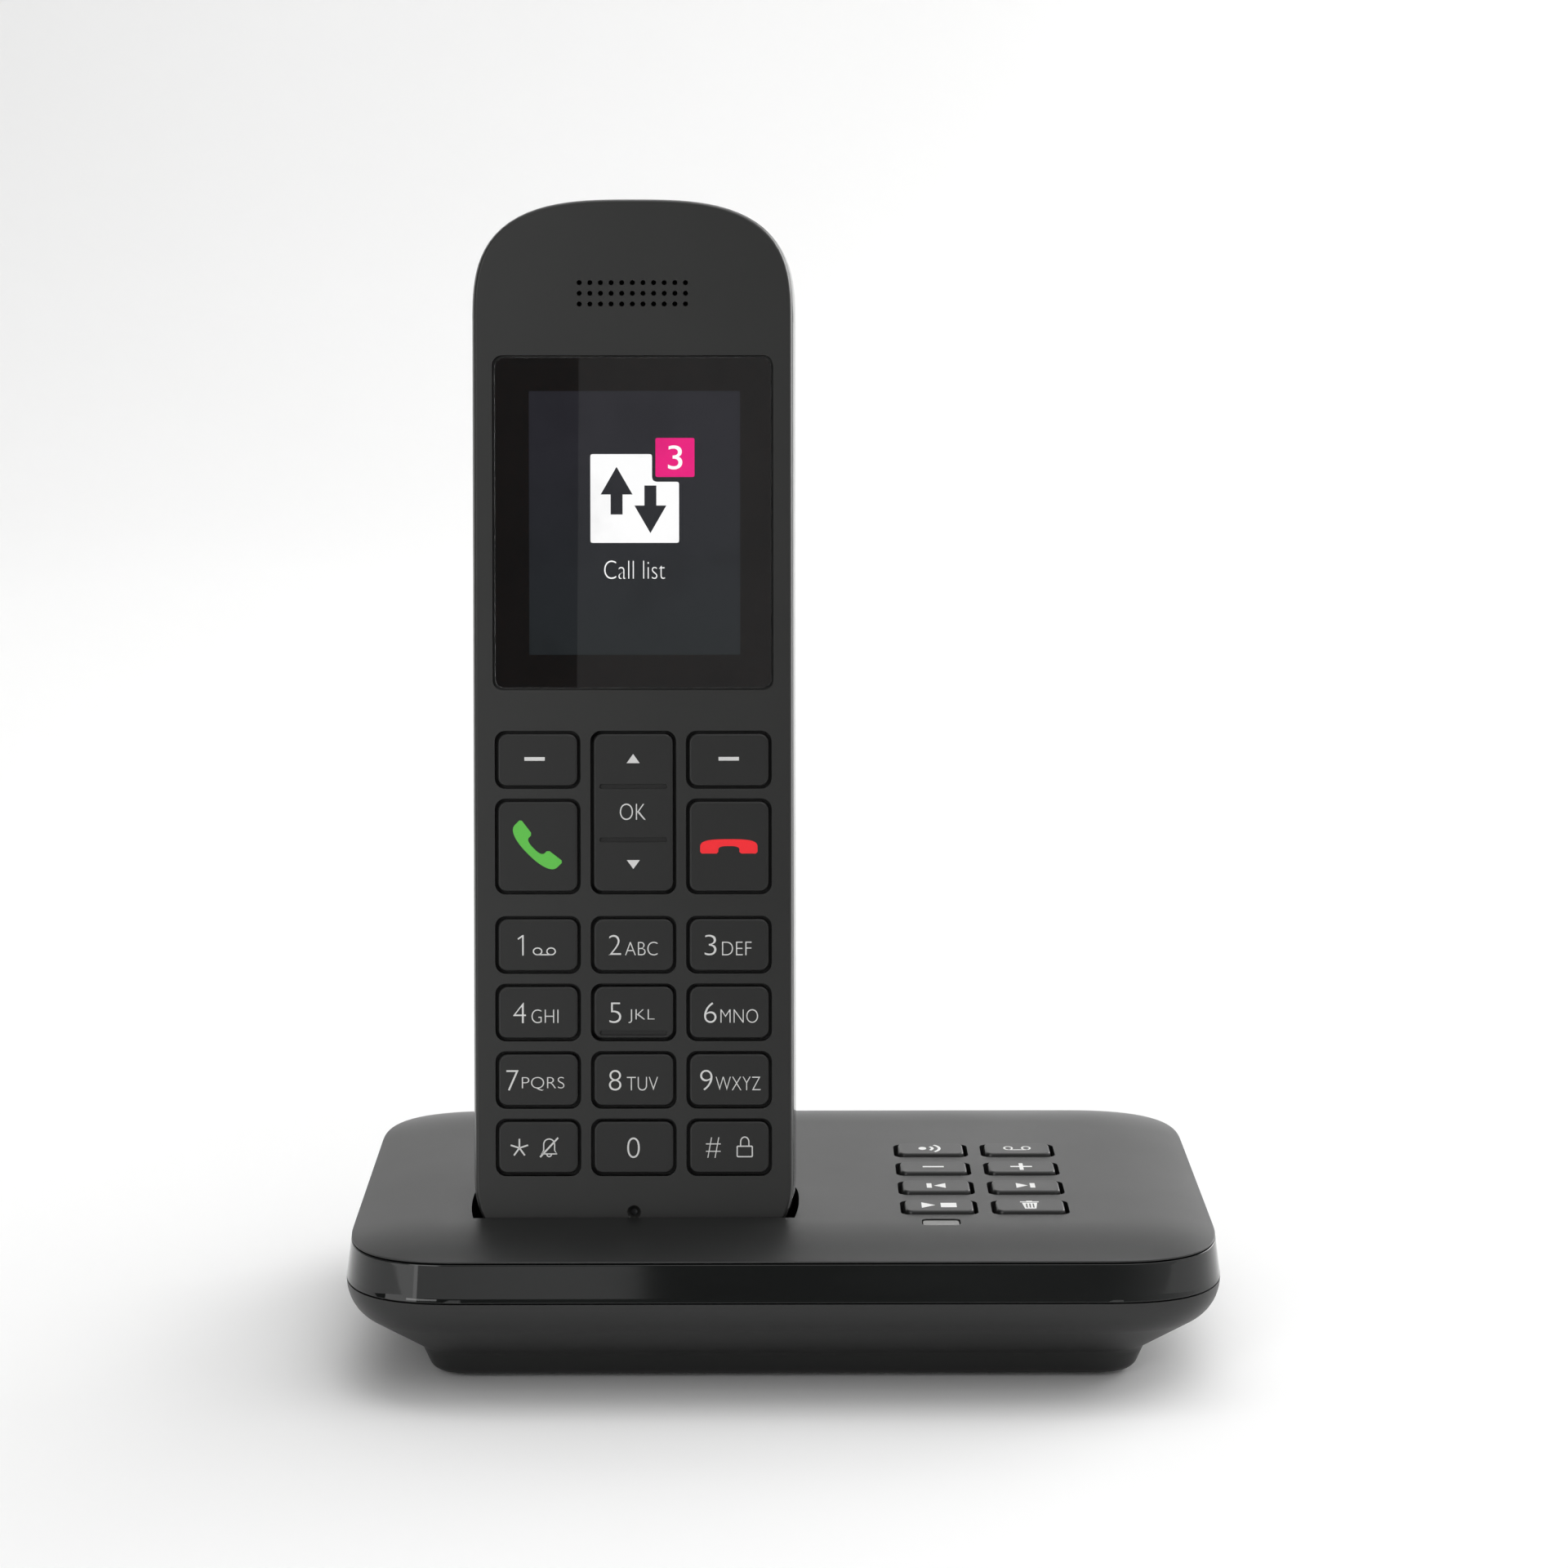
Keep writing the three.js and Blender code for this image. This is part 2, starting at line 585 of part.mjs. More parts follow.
// The section of the handset across its length, grown by a clearance, as a column along its length.
function pocketColumn(grow, fromY, toY) {
	const right = [new THREE.Vector2(HANDSET_WIDTH / 2 - FACE_INSET + grow, grow)];
	for (const share of [0.12, 0.5]) {
		const depth = share * -REAR_FRONT;
		right.push(new THREE.Vector2(HANDSET_WIDTH / 2 - frameInset(depth) + grow, -depth));
	}
	for (const share of ROLL_SHARES) {
		const depth = -REAR_FRONT + share * (HANDSET_THICKNESS + REAR_FRONT);
		right.push(new THREE.Vector2(HANDSET_WIDTH / 2 - rearInset(depth) + grow, -depth - grow * share));
	}
	const left = right.map((point) => new THREE.Vector2(-point.x, point.y)).reverse();
	const shape = new THREE.Shape([...right, ...left]);
	const geometry = new THREE.ExtrudeGeometry(shape, { depth: toY - fromY, bevelEnabled: false });
	// The section was drawn in X and Z, so the column is turned to run along Y.
	return geometry.rotateX(Math.PI / 2).translate(0, toY, 0);
}

const baseKeyStep = BASE_KEY_WIDTH + BASE_KEY_WEB;
const rightKeyX = screwX - COVER_BOSS / 2 - BASE_KEY_BOSS_GAP - BASE_KEY_GAP - BASE_KEY_WIDTH / 2;
const baseKeyColumns = [rightKeyX - baseKeyStep, rightKeyX];
const baseKeyRows = [];
for (let row = BASE_KEY_ROWS - 1; row >= 0; row -= 1) {
	baseKeyRows.push(BASE_KEY_LAST_ROW_Y + row * BASE_KEY_PITCH);
}

function crownHeight(share) {
	return CROWN_RISE * (1 - (1 - share) ** CROWN_POWER);
}

// The top cover is a shallow lid with a skirt inside the band and the handset's pocket hanging from it.
function topCover() {
	const skirtOuter = BAND_THICKNESS + BASE_SEAM;
	const skirtInner = skirtOuter + COVER_SKIRT;
	const skirtBottom = SEAM_HEIGHT + 2 * BASE_SEAM;
	const sections = [
		[baseOutline(BAND_LEAN_IN + CROWN_WIDTH), COVER_CEILING],
		[baseOutline(BAND_LEAN_IN + CROWN_WIDTH * 0.4), COVER_CEILING - CROWN_RISE + crownHeight(0.4)],
		[baseOutline(skirtInner), COVER_CEILING - CROWN_RISE + crownHeight(0.1)],
		[baseOutline(skirtInner), skirtBottom],
		[baseOutline(skirtOuter), skirtBottom],
		[baseOutline(skirtOuter), BAND_TOP - COVER_LIP],
		[baseOutline(BAND_LEAN_IN), BAND_TOP - COVER_LIP],
	];
	for (const share of [0, 0.12, 0.26, 0.42, 0.62, 1]) {
		sections.push([baseOutline(BAND_LEAN_IN + CROWN_WIDTH * share), BAND_TOP + crownHeight(share)]);
	}
	const lid = solid(loft(sections));
	const pocketBottom = -POCKET_FLOOR_GAP - POCKET_WALL;
	const well = pocketColumn(SLIDE_CLEARANCE + POCKET_WALL, pocketBottom, POCKET_WELL_REACH);
	const hollow = pocketColumn(SLIDE_CLEARANCE, -POCKET_FLOOR_GAP, POCKET_HOLLOW_REACH);
	well.applyMatrix4(dock.matrix);
	hollow.applyMatrix4(dock.matrix);
	const underCover = box(-BASE_WIDTH, BASE_WIDTH, -BASE_DEPTH, BASE_DEPTH, 0, BASE_TOP - COVER_WALL / 2);
	let cover = lid.add(solid(well).intersect(solid(underCover)));
	for (const x of screwPlaces) {
		const place = [x, BASE_SCREW_Y];
		const bossTop = BASE_TOP - COVER_WALL / 2;
		const holeTop = BASE_BOSS_HEIGHT + BASE_SCREW_LENGTH + SEAM;
		const boss = disc(COVER_BOSS, BASE_BOSS_HEIGHT + SEAM, bossTop, ...place, SMALL_SIDES);
		const hole = disc(BASE_SCREW_DIAMETER + 2 * SEAM, 0, holeTop, ...place, SMALL_SIDES);
		cover = cut(join(cover, boss), hole);
	}
	cover = cut(cover, hollow);
	for (const [, x] of chargePlaces) {
		const halfWidth = CONTACT_WIDTH / 2 + SEAM;
		const front = -CHARGE_PAD_BEHIND + CONTACT_THICKNESS / 2 + SEAM;
		const back = -CHARGE_PAD_BEHIND - CONTACT_THICKNESS / 2 - SEAM;
		const slot = box(x - halfWidth, x + halfWidth, pocketBottom - CUT_PAST, CUT_PAST, back, front);
		cover = cut(cover, slot.applyMatrix4(dock.matrix));
	}
	const throughCover = [COVER_CEILING - CUT_PAST, BASE_TOP + CUT_PAST];
	for (const x of baseKeyColumns) {
		for (const y of baseKeyRows) {
			const opening = [BASE_KEY_WIDTH, BASE_KEY_DEPTH, BASE_KEY_CORNER];
			cover = cut(cover, roundedPrism(...opening, ...throughCover, x, y));
		}
	}
	const lamp = [LAMP_WIDTH, LAMP_DEPTH, LAMP_CORNER];
	return cut(cover, roundedPrism(...lamp, ...throughCover, baseKeyColumns[0], LAMP_Y));
}

addPiece(base, 'base_bottom_shell', geometryOf(bottomShell()), 0x2f302f, 0.45);
addPiece(base, 'base_trim_band', trimBand(), 0x121313, 0.08);
addPiece(base, 'base_top_cover', geometryOf(topCover()), 0x3b3c3b, 0.5);

// Each base key is a tapered cap on a flange that stays under the cover.
const baseKeyNames = [
	['page', 'messages'],
	['quieter', 'louder'],
	['back', 'forward'],
	['play', 'delete'],
];
const baseKeyFlangeTop = COVER_CEILING - BASE_KEY_FLANGE_DROP;
for (const [row, names] of baseKeyNames.entries()) {
	for (const [column, name] of names.entries()) {
		const x = baseKeyColumns[column];
		const y = baseKeyRows[row];
		const level = (grow, height) => {
			const width = BASE_KEY_WIDTH + 2 * grow;
			const outline = roundedOutline(width, BASE_KEY_DEPTH + 2 * grow, BASE_KEY_CORNER, 2);
			return [outline.map((point) => point.add(new THREE.Vector2(x, y))), height];
		};
		const cap = loft([
			level(BASE_KEY_GAP, baseKeyFlangeTop - BASE_KEY_FLANGE),
			level(BASE_KEY_GAP, baseKeyFlangeTop),
			level(-BASE_KEY_GAP, baseKeyFlangeTop),
			level(-BASE_KEY_GAP, BASE_TOP),
			level(-BASE_KEY_GAP - BASE_KEY_TAPER, BASE_TOP + BASE_KEY_PROUD),
		]);
		addPiece(base, `base_key_${name}`, cap, 0x2c2d2d, 0.5);
	}
}

// The lamp is a clear bar that carries light up from the board.
const boardTop = BASE_TOP - BASE_BOARD_DROP;
const lampWidth = LAMP_WIDTH - 2 * BASE_SEAM;
const lampDepth = LAMP_DEPTH - 2 * BASE_SEAM;
const lampBar = roundedPrism(lampWidth, lampDepth, LAMP_CORNER, boardTop + BASE_SEAM, BASE_TOP - BASE_SEAM);
addPiece(base, 'base_status_lamp', lampBar.translate(baseKeyColumns[0], LAMP_Y, 0), 0xb4b4b0, 0.2);

// The base board starts beside the pocket and reaches back over the sockets.
function baseBoard() {
	const pocketRight = HANDSET_X + HANDSET_WIDTH / 2 + SLIDE_CLEARANCE + POCKET_WALL;
	const left = pocketRight + BASE_BOARD_POCKET_GAP;
	const right = screwX - COVER_BOSS / 2 - BASE_BOARD_BOSS_GAP;
	const tongueRight = POWER_SOCKET_X + POWER_HOLE_WIDTH / 2 + SOCKET_LIP;
	const tongueBack = ALCOVE_FACE_Y - 2 * ALCOVE_WALL;
	const shape = new THREE.Shape([
		new THREE.Vector2(left, BASE_BOARD_FRONT),
		new THREE.Vector2(right, BASE_BOARD_FRONT),
		new THREE.Vector2(right, BASE_BOARD_STEP),
		new THREE.Vector2(tongueRight, BASE_BOARD_STEP),
		new THREE.Vector2(tongueRight, tongueBack),
		new THREE.Vector2(left, tongueBack),
	]);
	const board = new THREE.ExtrudeGeometry(shape, { depth: BASE_BOARD_THICKNESS, bevelEnabled: false });
	return board.translate(0, 0, boardTop - BASE_BOARD_THICKNESS);
}
addPiece(base, 'base_board', geometryOf(solid(baseBoard())), 0x1f5b3a, 0.5);

// The loudspeaker faces down through the grille: a basket with a narrower magnet on its back.
const speakerFace = SHELL_WALL + SEAM;
const speakerProfile = [
	new THREE.Vector2(0, speakerFace),
	new THREE.Vector2(SPEAKER_DIAMETER / 2, speakerFace),
	new THREE.Vector2(SPEAKER_DIAMETER / 2, speakerFace + SPEAKER_RIM_THICKNESS),
	new THREE.Vector2(SPEAKER_MAGNET_DIAMETER / 2, speakerFace + SPEAKER_BASKET_THICKNESS),
	new THREE.Vector2(SPEAKER_MAGNET_DIAMETER / 2, speakerFace + SPEAKER_THICKNESS),
	new THREE.Vector2(0, speakerFace + SPEAKER_THICKNESS),
];
const speaker = new THREE.LatheGeometry(speakerProfile, FINE_SIDES).rotateX(Math.PI / 2);
speaker.translate(SPEAKER_X, SPEAKER_Y, 0);
addPiece(base, 'base_loudspeaker', geometryOf(solid(speaker)), 0x55585a, 0.5);

// Sockets hang under the board behind the alcove wall, each a block with one hole open to the back.
for (const [name, x, width, height] of sockets) {
	const halfBody = width / 2 + SOCKET_LIP;
	const back = ALCOVE_FACE_Y - ALCOVE_WALL - SEAM;
	const top = boardTop - BASE_BOARD_THICKNESS - BASE_SEAM;
	const body = solid(box(x - halfBody, x + halfBody, back - SOCKET_LENGTH, back, SHELL_WALL + SEAM, top));
	const fromTo = [x - width / 2, x + width / 2, back - HOLE_DEPTH, back + CUT_PAST];
	const hole = box(...fromTo, HOLE_UP - height / 2, HOLE_UP + height / 2);
	addPiece(base, name, geometryOf(cut(body, hole)), 0x1a1a1a, 0.5);
}

// Charging contacts rise through the pocket floor to just under the pads of the docked handset.
for (const [side, x] of chargePlaces) {
	const tip = CHARGE_PAD_FACE - SEAM;
	const radius = CONTACT_WIDTH / 2;
	const shape = new THREE.Shape();
	shape.moveTo(-radius, tip - CONTACT_LENGTH);
	shape.lineTo(radius, tip - CONTACT_LENGTH);
	shape.lineTo(radius, tip - radius);
	shape.absarc(0, tip - radius, radius, 0, Math.PI);
	const settings = { depth: CONTACT_THICKNESS, bevelEnabled: false, curveSegments: 8 };
	const contact = new THREE.ExtrudeGeometry(shape, settings);
	contact.translate(x, 0, -CHARGE_PAD_BEHIND - CONTACT_THICKNESS / 2);
	addPiece(dock, `charge_contact_${side}`, geometryOf(solid(contact)), 0xc9b27a, 0.25, 1);
}

for (const [place, x, y] of footPlaces) {
	const foot = disc(FOOT_DIAMETER, -FOOT_STANDOFF, FOOT_RECESS - BASE_SEAM, x, y, FINE_SIDES);
	addPiece(base, `rubber_foot_${place}`, foot, 0x151515, 0.9);
}

// A screw is a flat head on a plain shank, drawn head down and turned as asked.
function screw(diameter, head, headThickness, length, sides) {
	const profile = [
		new THREE.Vector2(0, 0),
		new THREE.Vector2(head / 2, 0),
		new THREE.Vector2(head / 2, headThickness),
		new THREE.Vector2(diameter / 2, headThickness),
		new THREE.Vector2(diameter / 2, headThickness + length),
		new THREE.Vector2(0, headThickness + length),
	];
	return new THREE.LatheGeometry(profile, sides).rotateX(Math.PI / 2);
}

for (const x of screwPlaces) {
	const headBottom = BASE_BOSS_HEIGHT - SHELL_WALL - BASE_SEAM - BASE_SCREW_HEAD_THICKNESS;
	const headSize = [BASE_SCREW_HEAD, BASE_SCREW_HEAD_THICKNESS];
	const shape = screw(BASE_SCREW_DIAMETER, ...headSize, BASE_SCREW_LENGTH, PLAIN_SIDES);
	shape.translate(x, BASE_SCREW_Y, headBottom);
	addPiece(base, `base_screw_${x < 0 ? 'left' : 'right'}`, geometryOf(solid(shape)), 0x9a9c9e, 0.35, 1);
}

// ---- Handset ----

// Every handset key: name, column (-1, 0 or 1), middle height and opening height.
const handsetKeys = [
	['key_soft_left', -1, SOFT_ROW_UP, SOFT_KEY_HEIGHT],
	['key_soft_right', 1, SOFT_ROW_UP, SOFT_KEY_HEIGHT],
	['key_call', -1, CALL_ROW_UP, CALL_KEY_HEIGHT],
	['key_end', 1, CALL_ROW_UP, CALL_KEY_HEIGHT],
];
const navigationBottom = CALL_ROW_UP - CALL_KEY_HEIGHT / 2;
const navigationTop = SOFT_ROW_UP + SOFT_KEY_HEIGHT / 2;
const navigationUp = (navigationBottom + navigationTop) / 2;
handsetKeys.push(['key_navigation', 0, navigationUp, navigationTop - navigationBottom]);
const digitNames = ['star', '0', 'hash', '7', '8', '9', '4', '5', '6', '1', '2', '3'];
for (const [place, digit] of digitNames.entries()) {
	const up = LAST_DIGIT_ROW_UP + Math.floor(place / 3) * DIGIT_ROW_PITCH;
	handsetKeys.push([`key_${digit}`, (place % 3) - 1, up, DIGIT_KEY_HEIGHT]);
}

// The front cover is a flat plate with the display, key, earpiece and microphone openings.
function frontCover() {
	const edge = FACE_INSET + FACE_EDGE;
	let cover = solid(
		loft([
			[handsetOutline(frameInset(FACE_THICKNESS)), -FACE_THICKNESS],
			[handsetOutline(FACE_INSET), -FACE_EDGE],
			[handsetOutline(edge), 0],
		]),
	);
	const window = [WINDOW_WIDTH + 2 * SEAM, WINDOW_HEIGHT + 2 * SEAM];
	const recess = -WINDOW_THICKNESS - SEAM;
	const behind = -FACE_THICKNESS - CUT_PAST;
	const ledge = [WINDOW_WIDTH - 2 * WINDOW_LEDGE, WINDOW_HEIGHT - 2 * WINDOW_LEDGE];
	cover = cut(
		cover,
		roundedPrism(...window, WINDOW_CORNER, recess, CUT_PAST, 0, WINDOW_UP, 3),
		roundedPrism(...ledge, WINDOW_CORNER, behind, 0, 0, WINDOW_UP, 1),
	);
	for (const [, column, up, height] of handsetKeys) {
		const opening = [KEY_WIDTH, height, KEY_CORNER];
		cover = cut(cover, roundedPrism(...opening, behind, CUT_PAST, column * KEY_PITCH, up));
	}
	for (let row = 0; row < EAR_ROWS; row += 1) {
		for (let column = 0; column < EAR_COLUMNS; column += 1) {
			const x = (column - (EAR_COLUMNS - 1) / 2) * EAR_PITCH;
			const y = HANDSET_LENGTH - EAR_FROM_TOP + (row - (EAR_ROWS - 1) / 2) * EAR_PITCH;
			cover = cut(cover, disc(EAR_HOLE, behind, CUT_PAST, x, y, EAR_HOLE_SIDES));
		}
	}
	const funnelDepth = (MICROPHONE_FUNNEL - MICROPHONE_HOLE) / 2;
	return cut(
		cover,
		disc(MICROPHONE_FUNNEL, -funnelDepth, CUT_PAST, 0, MICROPHONE_UP, SMALL_SIDES),
		disc(MICROPHONE_HOLE, behind, CUT_PAST, 0, MICROPHONE_UP, SMALL_SIDES),
	);
}
addPiece(handset, 'handset_front_cover', geometryOf(frontCover()), 0x3a3b39, 0.5);

function sideFrame() {
	const sections = [];
	for (const share of [1, 0.6, 0.3, 0]) {
		const depth = -FRAME_FRONT + share * FRAME_DEPTH;
		sections.push([handsetOutline(frameInset(depth)), -depth]);
	}
	sections.push([handsetOutline(FRAME_THICKNESS), FRAME_FRONT]);
	sections.push([handsetOutline(FRAME_THICKNESS), FRAME_BACK]);
	return loft(sections, true);
}
addPiece(handset, 'handset_side_frame', sideFrame(), 0x141515, 0.08);

// The battery bay is built into the rear cover and closed by a flat door in its back.
const cellSpan = CELL_LENGTH + CELL_NUB;
const bayWidth = 2 * CELL_DIAMETER + 3 * CELL_ROOM;
const bayBottom = BAY_UP - BRIDGE_THICKNESS - 2 * CELL_ROOM;
const bayTop = BAY_UP + cellSpan + CELL_ROOM + BAY_SCREW_SPACE;
const bayUp = (bayBottom + bayTop) / 2;
const bayHeight = bayTop - bayBottom;
const doorWidth = bayWidth + 2 * BAY_LEDGE;
const doorHeight = bayHeight + 2 * BAY_LEDGE;
const bayScrewUp = bayTop - BAY_SCREW_SPACE / 2;
const bayScrewX = bayWidth / 2 - SMALL_SCREW_HEAD / 2 - 2 * SEAM;
const bayScrewPlaces = [
	['left', -bayScrewX],
	['right', bayScrewX],
];

// The rolled back at its full size, or inside it by a wall, from its front edge to its flat.
function rearSections(wall) {
	const depth = HANDSET_THICKNESS + REAR_FRONT;
	return ROLL_SHARES.map((share) => {
		const inset = rearInset(-REAR_FRONT + share * depth) + wall;
		return [handsetOutline(inset), REAR_FRONT - share * (depth - wall)];
	});
}

function chargePad(x, grow, reach) {
	return box(
		x - CHARGE_PAD_WIDTH / 2 - grow,
		x + CHARGE_PAD_WIDTH / 2 + grow,
		CHARGE_PAD_FACE - reach,
		CHARGE_PAD_FACE + CHARGE_PAD_THICKNESS + reach,
		-CHARGE_PAD_BEHIND - CHARGE_PAD_DEPTH / 2 - grow,
		-CHARGE_PAD_BEHIND + CHARGE_PAD_DEPTH / 2 + grow,
	);
}

function rearCover() {
	const insideWall = REAR_BACK + REAR_WALL / 2;
	const ledgeBack = DOOR_FRONT + SEAM;
	const ledge = [doorWidth + 2 * BAY_WALL, doorHeight + 2 * BAY_WALL, DOOR_CORNER];
	const bayOuter = [bayWidth + 2 * BAY_WALL, bayHeight + 2 * BAY_WALL, BAY_WALL];
	let cover = solid(loft([...rearSections(0).reverse(), ...rearSections(REAR_WALL)]));
	cover = join(
		cover,
		roundedPrism(...ledge, insideWall, ledgeBack + BAY_WALL, 0, bayUp),
		roundedPrism(...bayOuter, insideWall, BAY_FLOOR + BAY_WALL, 0, bayUp, 1),
	);
	cover = cut(
		cover,
		roundedPrism(doorWidth, doorHeight, DOOR_CORNER, REAR_BACK - CUT_PAST, ledgeBack, 0, bayUp, 3),
		centredBox(0, bayUp, bayWidth, bayHeight, REAR_BACK - CUT_PAST, BAY_FLOOR),
	);
	for (const [, x] of chargePlaces) cover = cut(cover, chargePad(x, SEAM, 3 * REAR_WALL));
	for (const [, x] of bayScrewPlaces) {
		const through = [BAY_FLOOR - CUT_PAST, BAY_FLOOR + BAY_WALL + CUT_PAST];
		const hole = disc(SMALL_SCREW_DIAMETER + 2 * SEAM, ...through, x, bayScrewUp, SMALL_SIDES);
		cover = cut(cover, hole);
	}
	for (const slot of [-1, 0, 1]) {
		const y = HANDSET_LENGTH - RINGER_FROM_TOP + slot * RINGER_SLOT_PITCH;
		const through = [REAR_BACK - CUT_PAST, DOOR_FRONT + CUT_PAST];
		cover = cut(cover, centredBox(0, y, RINGER_SLOT_WIDTH, RINGER_SLOT_HEIGHT, ...through));
	}
	return cover;
}
addPiece(handset, 'handset_rear_cover', geometryOf(rearCover()), 0x333433, 0.5);

const doorSize = [doorWidth - 2 * SEAM, doorHeight - 2 * SEAM, DOOR_CORNER - SEAM];
const door = roundedPrism(...doorSize, REAR_BACK, DOOR_FRONT, 0, bayUp, 3);
addPiece(handset, 'battery_door', geometryOf(solid(door)), 0x323332, 0.5);

for (const [side, x] of chargePlaces) {
	addPiece(handset, `charge_pad_${side}`, chargePad(x, 0, 0), 0xcfcfcc, 0.25, 1);
}

for (const [side, x] of bayScrewPlaces) {
	const headSize = [SMALL_SCREW_HEAD, SMALL_SCREW_HEAD_THICKNESS];
	const underHead = BAY_FLOOR - SEAM;
	const length = -BOARD_DEPTH - BOARD_THICKNESS - SMALL_SCREW_ROOM - underHead;
	const shape = screw(SMALL_SCREW_DIAMETER, ...headSize, length, SMALL_SIDES);
	shape.translate(x, bayScrewUp, underHead - SMALL_SCREW_HEAD_THICKNESS);
	addPiece(handset, `handset_screw_${side}`, geometryOf(solid(shape)), 0x8f9193, 0.35, 1);
}

// Two cells lie head to tail, joined at their lower ends by a metal bridge.
const cellProfile = [
	new THREE.Vector2(0, 0),
	new THREE.Vector2(CELL_DIAMETER / 2, 0),
	new THREE.Vector2(CELL_DIAMETER / 2, CELL_LENGTH),
	new THREE.Vector2(CELL_NUB_DIAMETER / 2, CELL_LENGTH),
	new THREE.Vector2(CELL_NUB_DIAMETER / 2, cellSpan),
	new THREE.Vector2(0, cellSpan),
];
for (const [side, sign] of [['left', -1], ['right', 1]]) {
	const cell = new THREE.LatheGeometry(cellProfile, PLAIN_SIDES).translate(0, -cellSpan / 2, 0);
	if (sign > 0) cell.rotateZ(Math.PI);
	cell.translate((sign * (CELL_DIAMETER + CELL_ROOM)) / 2, BAY_UP + cellSpan / 2, CELL_Z);
	addPiece(handset, `battery_cell_${side}`, geometryOf(solid(cell)), 0x2f7d4f, 0.4);
}
const bridgeBottom = BAY_UP - CELL_ROOM - BRIDGE_THICKNESS;
const bridgeHalf = bayWidth / 2 - CELL_ROOM;
const bridgeFromTo = [-bridgeHalf, bridgeHalf, bridgeBottom, bridgeBottom + BRIDGE_THICKNESS];
const bridge = box(...bridgeFromTo, CELL_Z - CELL_DIAMETER / 4, CELL_Z + CELL_DIAMETER / 4);
addPiece(handset, 'battery_bridge', bridge, 0xc4c6c8, 0.3, 1);

// Display, behind its window.
const paneSize = [WINDOW_WIDTH, WINDOW_HEIGHT, WINDOW_CORNER, -WINDOW_THICKNESS, 0];
const windowPane = roundedPrism(...paneSize, 0, WINDOW_UP, 3);
addPiece(handset, 'display_window', geometryOf(solid(windowPane)), 0x0d0a09, 0.05);
const displaySize = [DISPLAY_WIDTH, DISPLAY_HEIGHT, BEHIND_FACE - DISPLAY_THICKNESS, BEHIND_FACE];
addPiece(handset, 'display_module', centredBox(0, WINDOW_UP, ...displaySize), 0x24262a, 0.3);

// Each key is a cap in its opening on a flange behind the face.
for (const [name, column, up, height] of handsetKeys) {
	const level = (grow, z) => {
		const outline = roundedOutline(KEY_WIDTH + 2 * grow, height + 2 * grow, KEY_CORNER, 2);
		return [outline.map((point) => point.add(new THREE.Vector2(column * KEY_PITCH, up))), z];
	};
	const cap = loft([
		level(KEY_FLANGE, KEY_FOOT),
		level(KEY_FLANGE, KEY_FLANGE_FRONT),
		level(-KEY_SIDE_GAP, KEY_FLANGE_FRONT),
		level(-KEY_SIDE_GAP, KEY_PROUD - KEY_EDGE),
		level(-KEY_SIDE_GAP - KEY_EDGE, KEY_PROUD),
	]);
	addPiece(handset, name, cap, 0x333433, 0.5);
}

// The navigation key rocks on the round rib of a small carrier, and the carrier travels in a window
// of the key mat.
const carrierTop = KEY_FOOT - CARRIER_SINK;
const carrierSize = [CARRIER_WIDTH, CARRIER_HEIGHT, carrierTop - CARRIER_THICKNESS, carrierTop];
const rib = new THREE.CylinderGeometry(CARRIER_RIB, CARRIER_RIB, CARRIER_WIDTH, FINE_SIDES);
rib.rotateZ(Math.PI / 2).translate(0, navigationUp, carrierTop);
const carrier = join(solid(centredBox(0, navigationUp, ...carrierSize)), rib);
addPiece(handset, 'navigation_carrier', geometryOf(carrier), 0xd8d8d2, 0.6);

function keypadMat() {
	const bottom = LAST_DIGIT_ROW_UP - DIGIT_KEY_HEIGHT / 2 - MAT_MARGIN;
	const top = navigationTop + MAT_MARGIN;
	const halfWidth = KEY_PITCH + KEY_WIDTH / 2 + MAT_MARGIN;
	const sheet = box(-halfWidth, halfWidth, bottom, top, MAT_FRONT - MAT_THICKNESS, MAT_FRONT);
	const opening = [CARRIER_WIDTH + 4 * SEAM, CARRIER_HEIGHT + 4 * SEAM];
	const through = [MAT_FRONT - MAT_THICKNESS - CUT_PAST, MAT_FRONT + CUT_PAST];
	return cut(solid(sheet), centredBox(0, navigationUp, ...opening, ...through));
}
addPiece(handset, 'keypad_mat', geometryOf(keypadMat()), 0xbfc0ba, 0.8);

// Board and sound parts.
const boardUp = HANDSET_LENGTH / 2;
const boardSize = [BOARD_WIDTH, HANDSET_LENGTH - 2 * BOARD_END_MARGIN];
const board = centredBox(0, boardUp, ...boardSize, -BOARD_DEPTH - BOARD_THICKNESS, -BOARD_DEPTH);
addPiece(handset, 'handset_board', board, 0x1f5b3a, 0.5);
const earpieceSize = [EARPIECE_WIDTH, EARPIECE_HEIGHT, BEHIND_FACE - EARPIECE_THICKNESS, BEHIND_FACE];
const earpiece = centredBox(0, HANDSET_LENGTH - EAR_FROM_TOP, ...earpieceSize);
addPiece(handset, 'earpiece', earpiece, 0x8c8c88, 0.4);
const microphoneSpan = [BEHIND_FACE - MICROPHONE_THICKNESS, BEHIND_FACE];
const microphone = disc(MICROPHONE_DIAMETER, ...microphoneSpan, 0, MICROPHONE_UP, PLAIN_SIDES);
addPiece(handset, 'microphone', microphone, 0x9a9a96, 0.4);
const ringerSpan = [DOOR_FRONT + SEAM, DOOR_FRONT + SEAM + RINGER_THICKNESS];
const ringerUp = HANDSET_LENGTH - RINGER_FROM_TOP;
const ringer = disc(RINGER_DIAMETER, ...ringerSpan, 0, ringerUp, FINE_SIDES);
addPiece(handset, 'handset_ringer', ringer, 0x55585a, 0.5);

export default phone;
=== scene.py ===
"""A cordless phone leaning back in its charging base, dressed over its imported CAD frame.

Shapes are worked out in millimetres and become metres where they enter a mesh. +Z is up, and someone
facing the keypad looks along +Y with +X on their right.
"""

import json
import math

